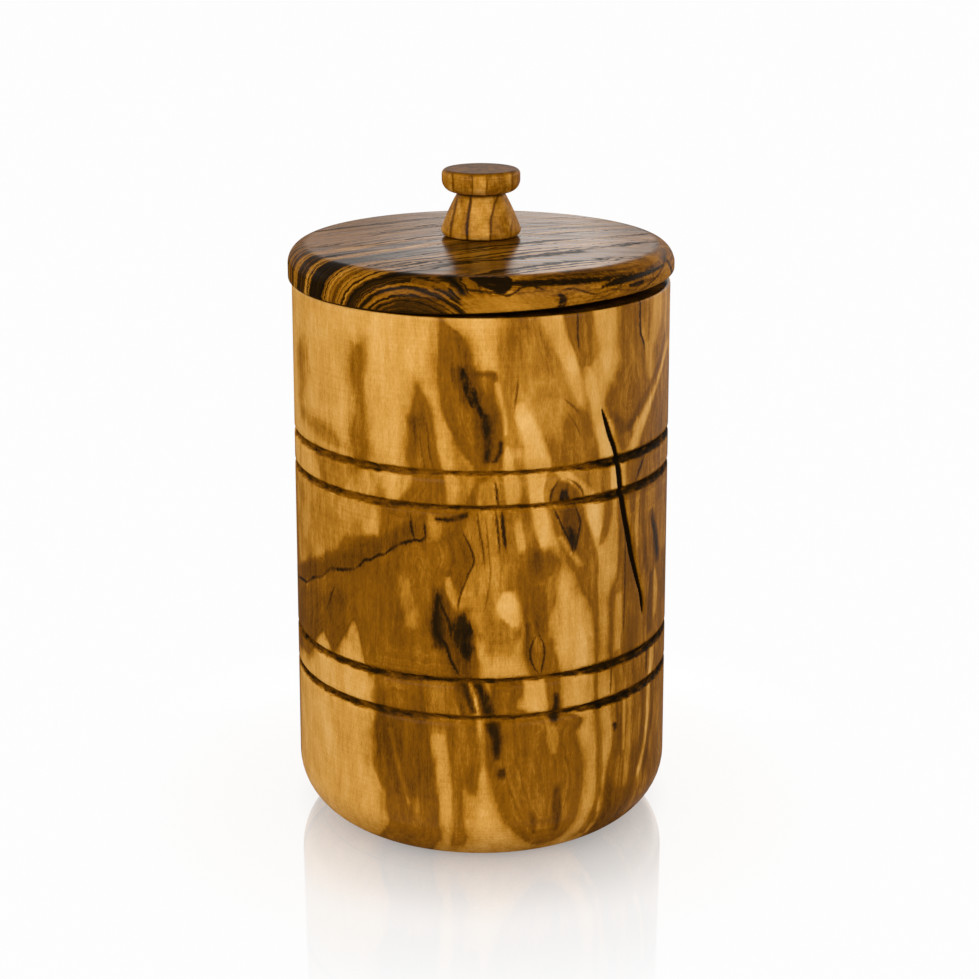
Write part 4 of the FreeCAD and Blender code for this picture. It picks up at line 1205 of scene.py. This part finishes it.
def lid_material():
    """Wood cut through its dark heart: growth rings as a ramp over the ring distance, and inked marks."""
    material, tree = new_material("ringed_lid_wood")
    turned = grain_vector(tree, (0, math.radians(90), -LID_GRAIN))
    fibres = place_group(tree, FIBRES, {"Grain": turned})
    top = read(tree, "top")
    along_grain = read(tree, "along")

    # Growth rings with veins between them, weaker over the top
    drift = grain_noise(turned, 0.25, 0.025, 3.0, 0.6)
    wander = blend(top, fibres["Streak"] * 1.6 - 0.8, drift * 3.0 - 1.5)
    ring = read(tree, "ring") + wander
    stops = [(place / LID_RING_REACH, (depth,) * 3) for place, depth in LID_RINGS]
    rings = tones(ring / LID_RING_REACH, stops)
    course = flat_vector(ring, along_grain * 0.016)
    growth = (noise(course, 1.7, 3.0, 0.6) - 0.5) * blend(top, 0.8, 0.6)
    top_vein = veins(course, 0.4, 0.03) * (top * 0.6 + 0.3)
    edge_vein = veins(course, 0.95, 0.085) * blend(top, 0.97, 0.0)
    vein = calc("MAXIMUM", top_vein, edge_vein)
    rings = blend(read(tree, "faded"), rings, rings * 0.3 + 0.38) + growth

    # Plainer tan layers at the right, then the marks
    x, y, z = axes(grain_vector(tree))
    layers = flat_vector(z + wander * 1.5, along_grain * 0.06)
    tan = blend(veins(layers, 0.8, 0.05) * 0.55, growth + LID_TAN, 0.85)
    depth = blend(read(tree, "right_side"), blend(vein, rings, LINE_TONE), tan)
    thread = fibres["Thread"]
    depth = blend(feathered(tree, "pale", 1.2, thread, 0.4), depth, LID_PALE_TONE)
    dark = blend(feathered(tree, "dark", 2.6, thread, 0.4), depth, LID_DARK_TONE)
    depth = calc("MAXIMUM", depth, dark)
    depth = blend(feathered(tree, "ink", 3.0, thread, 0.4), depth, INK_TONE)
    for name in ("line", "near", "outer"):
        depth = blend(stroke(tree, name, fibres["Fine"], 0.22), depth, LINE_TONE)
    # painted shade: the lower face under the overhang goes near black
    depth = blend(read(tree, "under"), depth, LID_UNDERSIDE_SHADE)

    # Varnish in streaks over the top, dull over the veins
    broad = grain_noise(turned, 0.5, 0.025, 4.0, 0.65)
    polish = step(x, -36, 4, 0.22, 0.56) * (broad * 1.5 + 0.25)
    polish = polish * (vein * -0.75 + 1.0) * step(x, 24, 40, 1.0, 0.55)
    varnished(tree, depth, fibres, blend(top, 0.12, polish))
    return material


KNOB_HONEY = 0.32
KNOB_STRIPE = 0.54
KNOB_LINE_TONE = 0.86
KNOB_CORNER_SHADE = 0.93


def knob_material():
    """Upright stripes, mottled and turned round, with painted shade in the corners and a darker end grain
    on top.
    """
    material, tree = new_material("striped_knob_wood")
    grain = grain_vector(tree)
    fibres = place_group(tree, FIBRES, {"Grain": grain})
    mottle = grain_noise(grain, 0.5, 0.35, 4.0, 0.65)
    turning = grain_noise(grain, 0.25, 3.2, 3.0, 0.6)
    spread = (mottle * 0.5 - 0.25) + (turning * 0.24 - 0.12)
    brown = feathered(tree, "brown", 1.6, fibres["Thread"], 0.5)
    depth = blend(brown, KNOB_HONEY, KNOB_STRIPE) + spread
    for name in ("line", "near"):
        depth = blend(stroke(tree, name, mottle, 0.3), depth, KNOB_LINE_TONE)
    depth = blend(read(tree, "end_grain"), depth, mottle * 0.6 + 0.36)
    # painted shade in the corners, broken up by the mottle
    corner = step(spread * 0.8 + read(tree, "corner"), 0.15, 0.95)
    depth = blend(corner, depth, KNOB_CORNER_SHADE)
    varnished(tree, depth, fibres, 0.14)
    return material


def dowel_material():
    """Plain bare hardwood for the hidden dowel."""
    material, tree = new_material("plain_dowel_wood")
    fine = place_group(tree, FIBRES, {"Grain": grain_vector(tree)})["Fine"]
    plain = ((0.25, (0.48, 0.33, 0.17)), (0.75, (0.68, 0.52, 0.32)))
    normal = relief(tree, fine, 0.3)
    principled(tree, {"Base Color": tones(fine, plain), "Normal": normal, "Roughness": 0.6})
    return material


# Studio

FLOOR_SIZE = 3.0               # metres
SHEEN_NEAR = 0.04              # the floor's reflection is strongest at this distance from the axis
SHEEN_FAR = 0.078              # is faint here
SHEEN_END = 0.12               # and is gone here
WHITE = (0.985, 0.985, 0.985)  # of the floor and the backdrop, as the camera sees them


def mixed(share, first, second):
    """A shader between two others."""
    return put(share.tree, "MixShader", 0, {0: share, 1: first, 2: second})


def floor():
    """A plain white floor with a faint mirror that fades out, and a painted warm shade close to the jar."""
    half = FLOOR_SIZE / 2
    mesh = bpy.data.meshes.new("floor")
    corners = [(-half, -half, 0), (half, -half, 0), (half, half, 0), (-half, half, 0)]
    mesh.from_pydata(corners, [], [(0, 1, 2, 3)])
    piece = bpy.data.objects.new("floor", mesh)
    bpy.context.collection.objects.link(piece)
    material, tree = new_material("white_floor")
    place = put(tree, "TexCoord", "Object")
    away = put(tree, "VectorMath", "Value", {0: place}, operation="LENGTH")
    x, y, z = axes(place)
    path = outputs(tree, add(tree, "LightPath"))
    seen = path["Is Camera Ray"]
    mirrored = path["Is Glossy Ray"]
    dim = blend(mirrored, 0.5, step(x, -0.15, 0.3, 0.15, 0.4))
    matt = put(tree, "BsdfDiffuse", 0, {"Color": blend(seen, dim, 0.74)})
    # painted shade: the floor's glow turns warm within 9 cm of the jar's axis
    warm_painted_shade = ((0.045, (0.985, 0.955, 0.925)), (0.09, WHITE))
    glow = put(tree, "Emission", 0, {"Color": tones(away, warm_painted_shade), "Strength": 1.0})
    to_camera = seen * step(away, 0.034, 0.052, 0.5, 1.0)
    to_gloss = mirrored * step(x, 0.06, 0.42)
    white = mixed(calc("MAXIMUM", to_camera, to_gloss), matt, glow)
    mirror = put(tree, "BsdfGlossy", 0, {"Color": (0.97, 0.97, 0.97, 1), "Roughness": 0.05})
    sheen = step(away, SHEEN_NEAR, SHEEN_FAR, 0.42, 0.1) * step(away, SHEEN_FAR, SHEEN_END, 1.0, 0.0)
    add(tree, "OutputMaterial", {"Surface": mixed(sheen, white, mirror)})
    mesh.materials.append(material)


def surroundings():
    """White to the camera. To the wood, a dim studio with a low bright backdrop, brightest at the right."""
    world = bpy.data.worlds.new("studio")
    bpy.context.scene.world = world
    world.use_nodes = True
    tree = world.node_tree
    tree.nodes.clear()
    x, y, z = axes(put(tree, "TexCoord", "Generated"))
    behind = step(y, -0.1, 0.5)
    glare = step(z, 0.08, 0.26, 0.55, 1.4) * step(x, -0.5, 0.7, 1.6, 3.4)
    wall = blend(step(z, 0.3, 0.4), glare, 0.86) * step(z, 0.6, 0.8, 1.0, 0.0)
    tint = tones(z, ((0.3, (1, 0.965, 0.92)), (0.4, (1, 1, 1))))
    studio = put(tree, "Background", 0, {"Color": tint, "Strength": behind * wall + 0.12})
    white = put(tree, "Background", 0, {"Color": (*WHITE, 1), "Strength": 1.0})
    seen = put(tree, "LightPath", "Is Camera Ray")
    add(tree, "OutputWorld", {"Surface": mixed(seen, studio, white)})


def lamp(name, place, target, size, watts):
    """A square soft box at a place, facing a target."""
    light = bpy.data.lights.new(name, "AREA")
    light.size = size
    light.energy = watts
    piece = bpy.data.objects.new(name, light)
    bpy.context.collection.objects.link(piece)
    piece.location = place
    aim = np.array(target) - np.array(place)
    flat = math.hypot(aim[0], aim[1])
    piece.rotation_euler = (math.atan2(flat, -aim[2]), 0, math.atan2(aim[1], aim[0]) - math.pi / 2)


CAMERA_PLACE = (0.002085, -0.51892, 0.24591)
CAMERA_PITCH = math.radians(17.293)   # downwards
CAMERA_LENS = 77.9


def camera():
    """The photograph's viewpoint: in front, a little above, looking down."""
    lens = bpy.data.cameras.new("camera")
    lens.lens = CAMERA_LENS
    lens.sensor_width = 36
    lens.clip_start = 0.01
    piece = bpy.data.objects.new("camera", lens)
    bpy.context.collection.objects.link(piece)
    piece.location = CAMERA_PLACE
    piece.rotation_euler = (math.pi / 2 - CAMERA_PITCH, 0, 0)
    bpy.context.scene.camera = piece


# Putting it together

for make, dress, body, node, slot in (
    (jar_piece, jar_material, "jar", "jar_body", "jar_wood"),
    (lid_piece, lid_material, "lid", "lid", "lid_wood"),
    (knob_piece, knob_material, "lid", "knob", "knob_wood"),
):
    piece = make()
    piece.data.materials.append(dress())
    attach(piece, body)
    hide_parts(node)

dowel = dowel_material()
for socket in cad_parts["knob_dowel"].material_slots:
    socket.material = dowel

floor()
surroundings()
lamp("key", (-0.85, -1.1, 0.6), (0, 0, 0.08), 1.2, 22)
lamp("fill", (0.95, -1.0, 0.55), (0, 0, 0.08), 1.2, 14.5)
camera()
bpy.context.scene.view_settings.view_transform = "Standard"
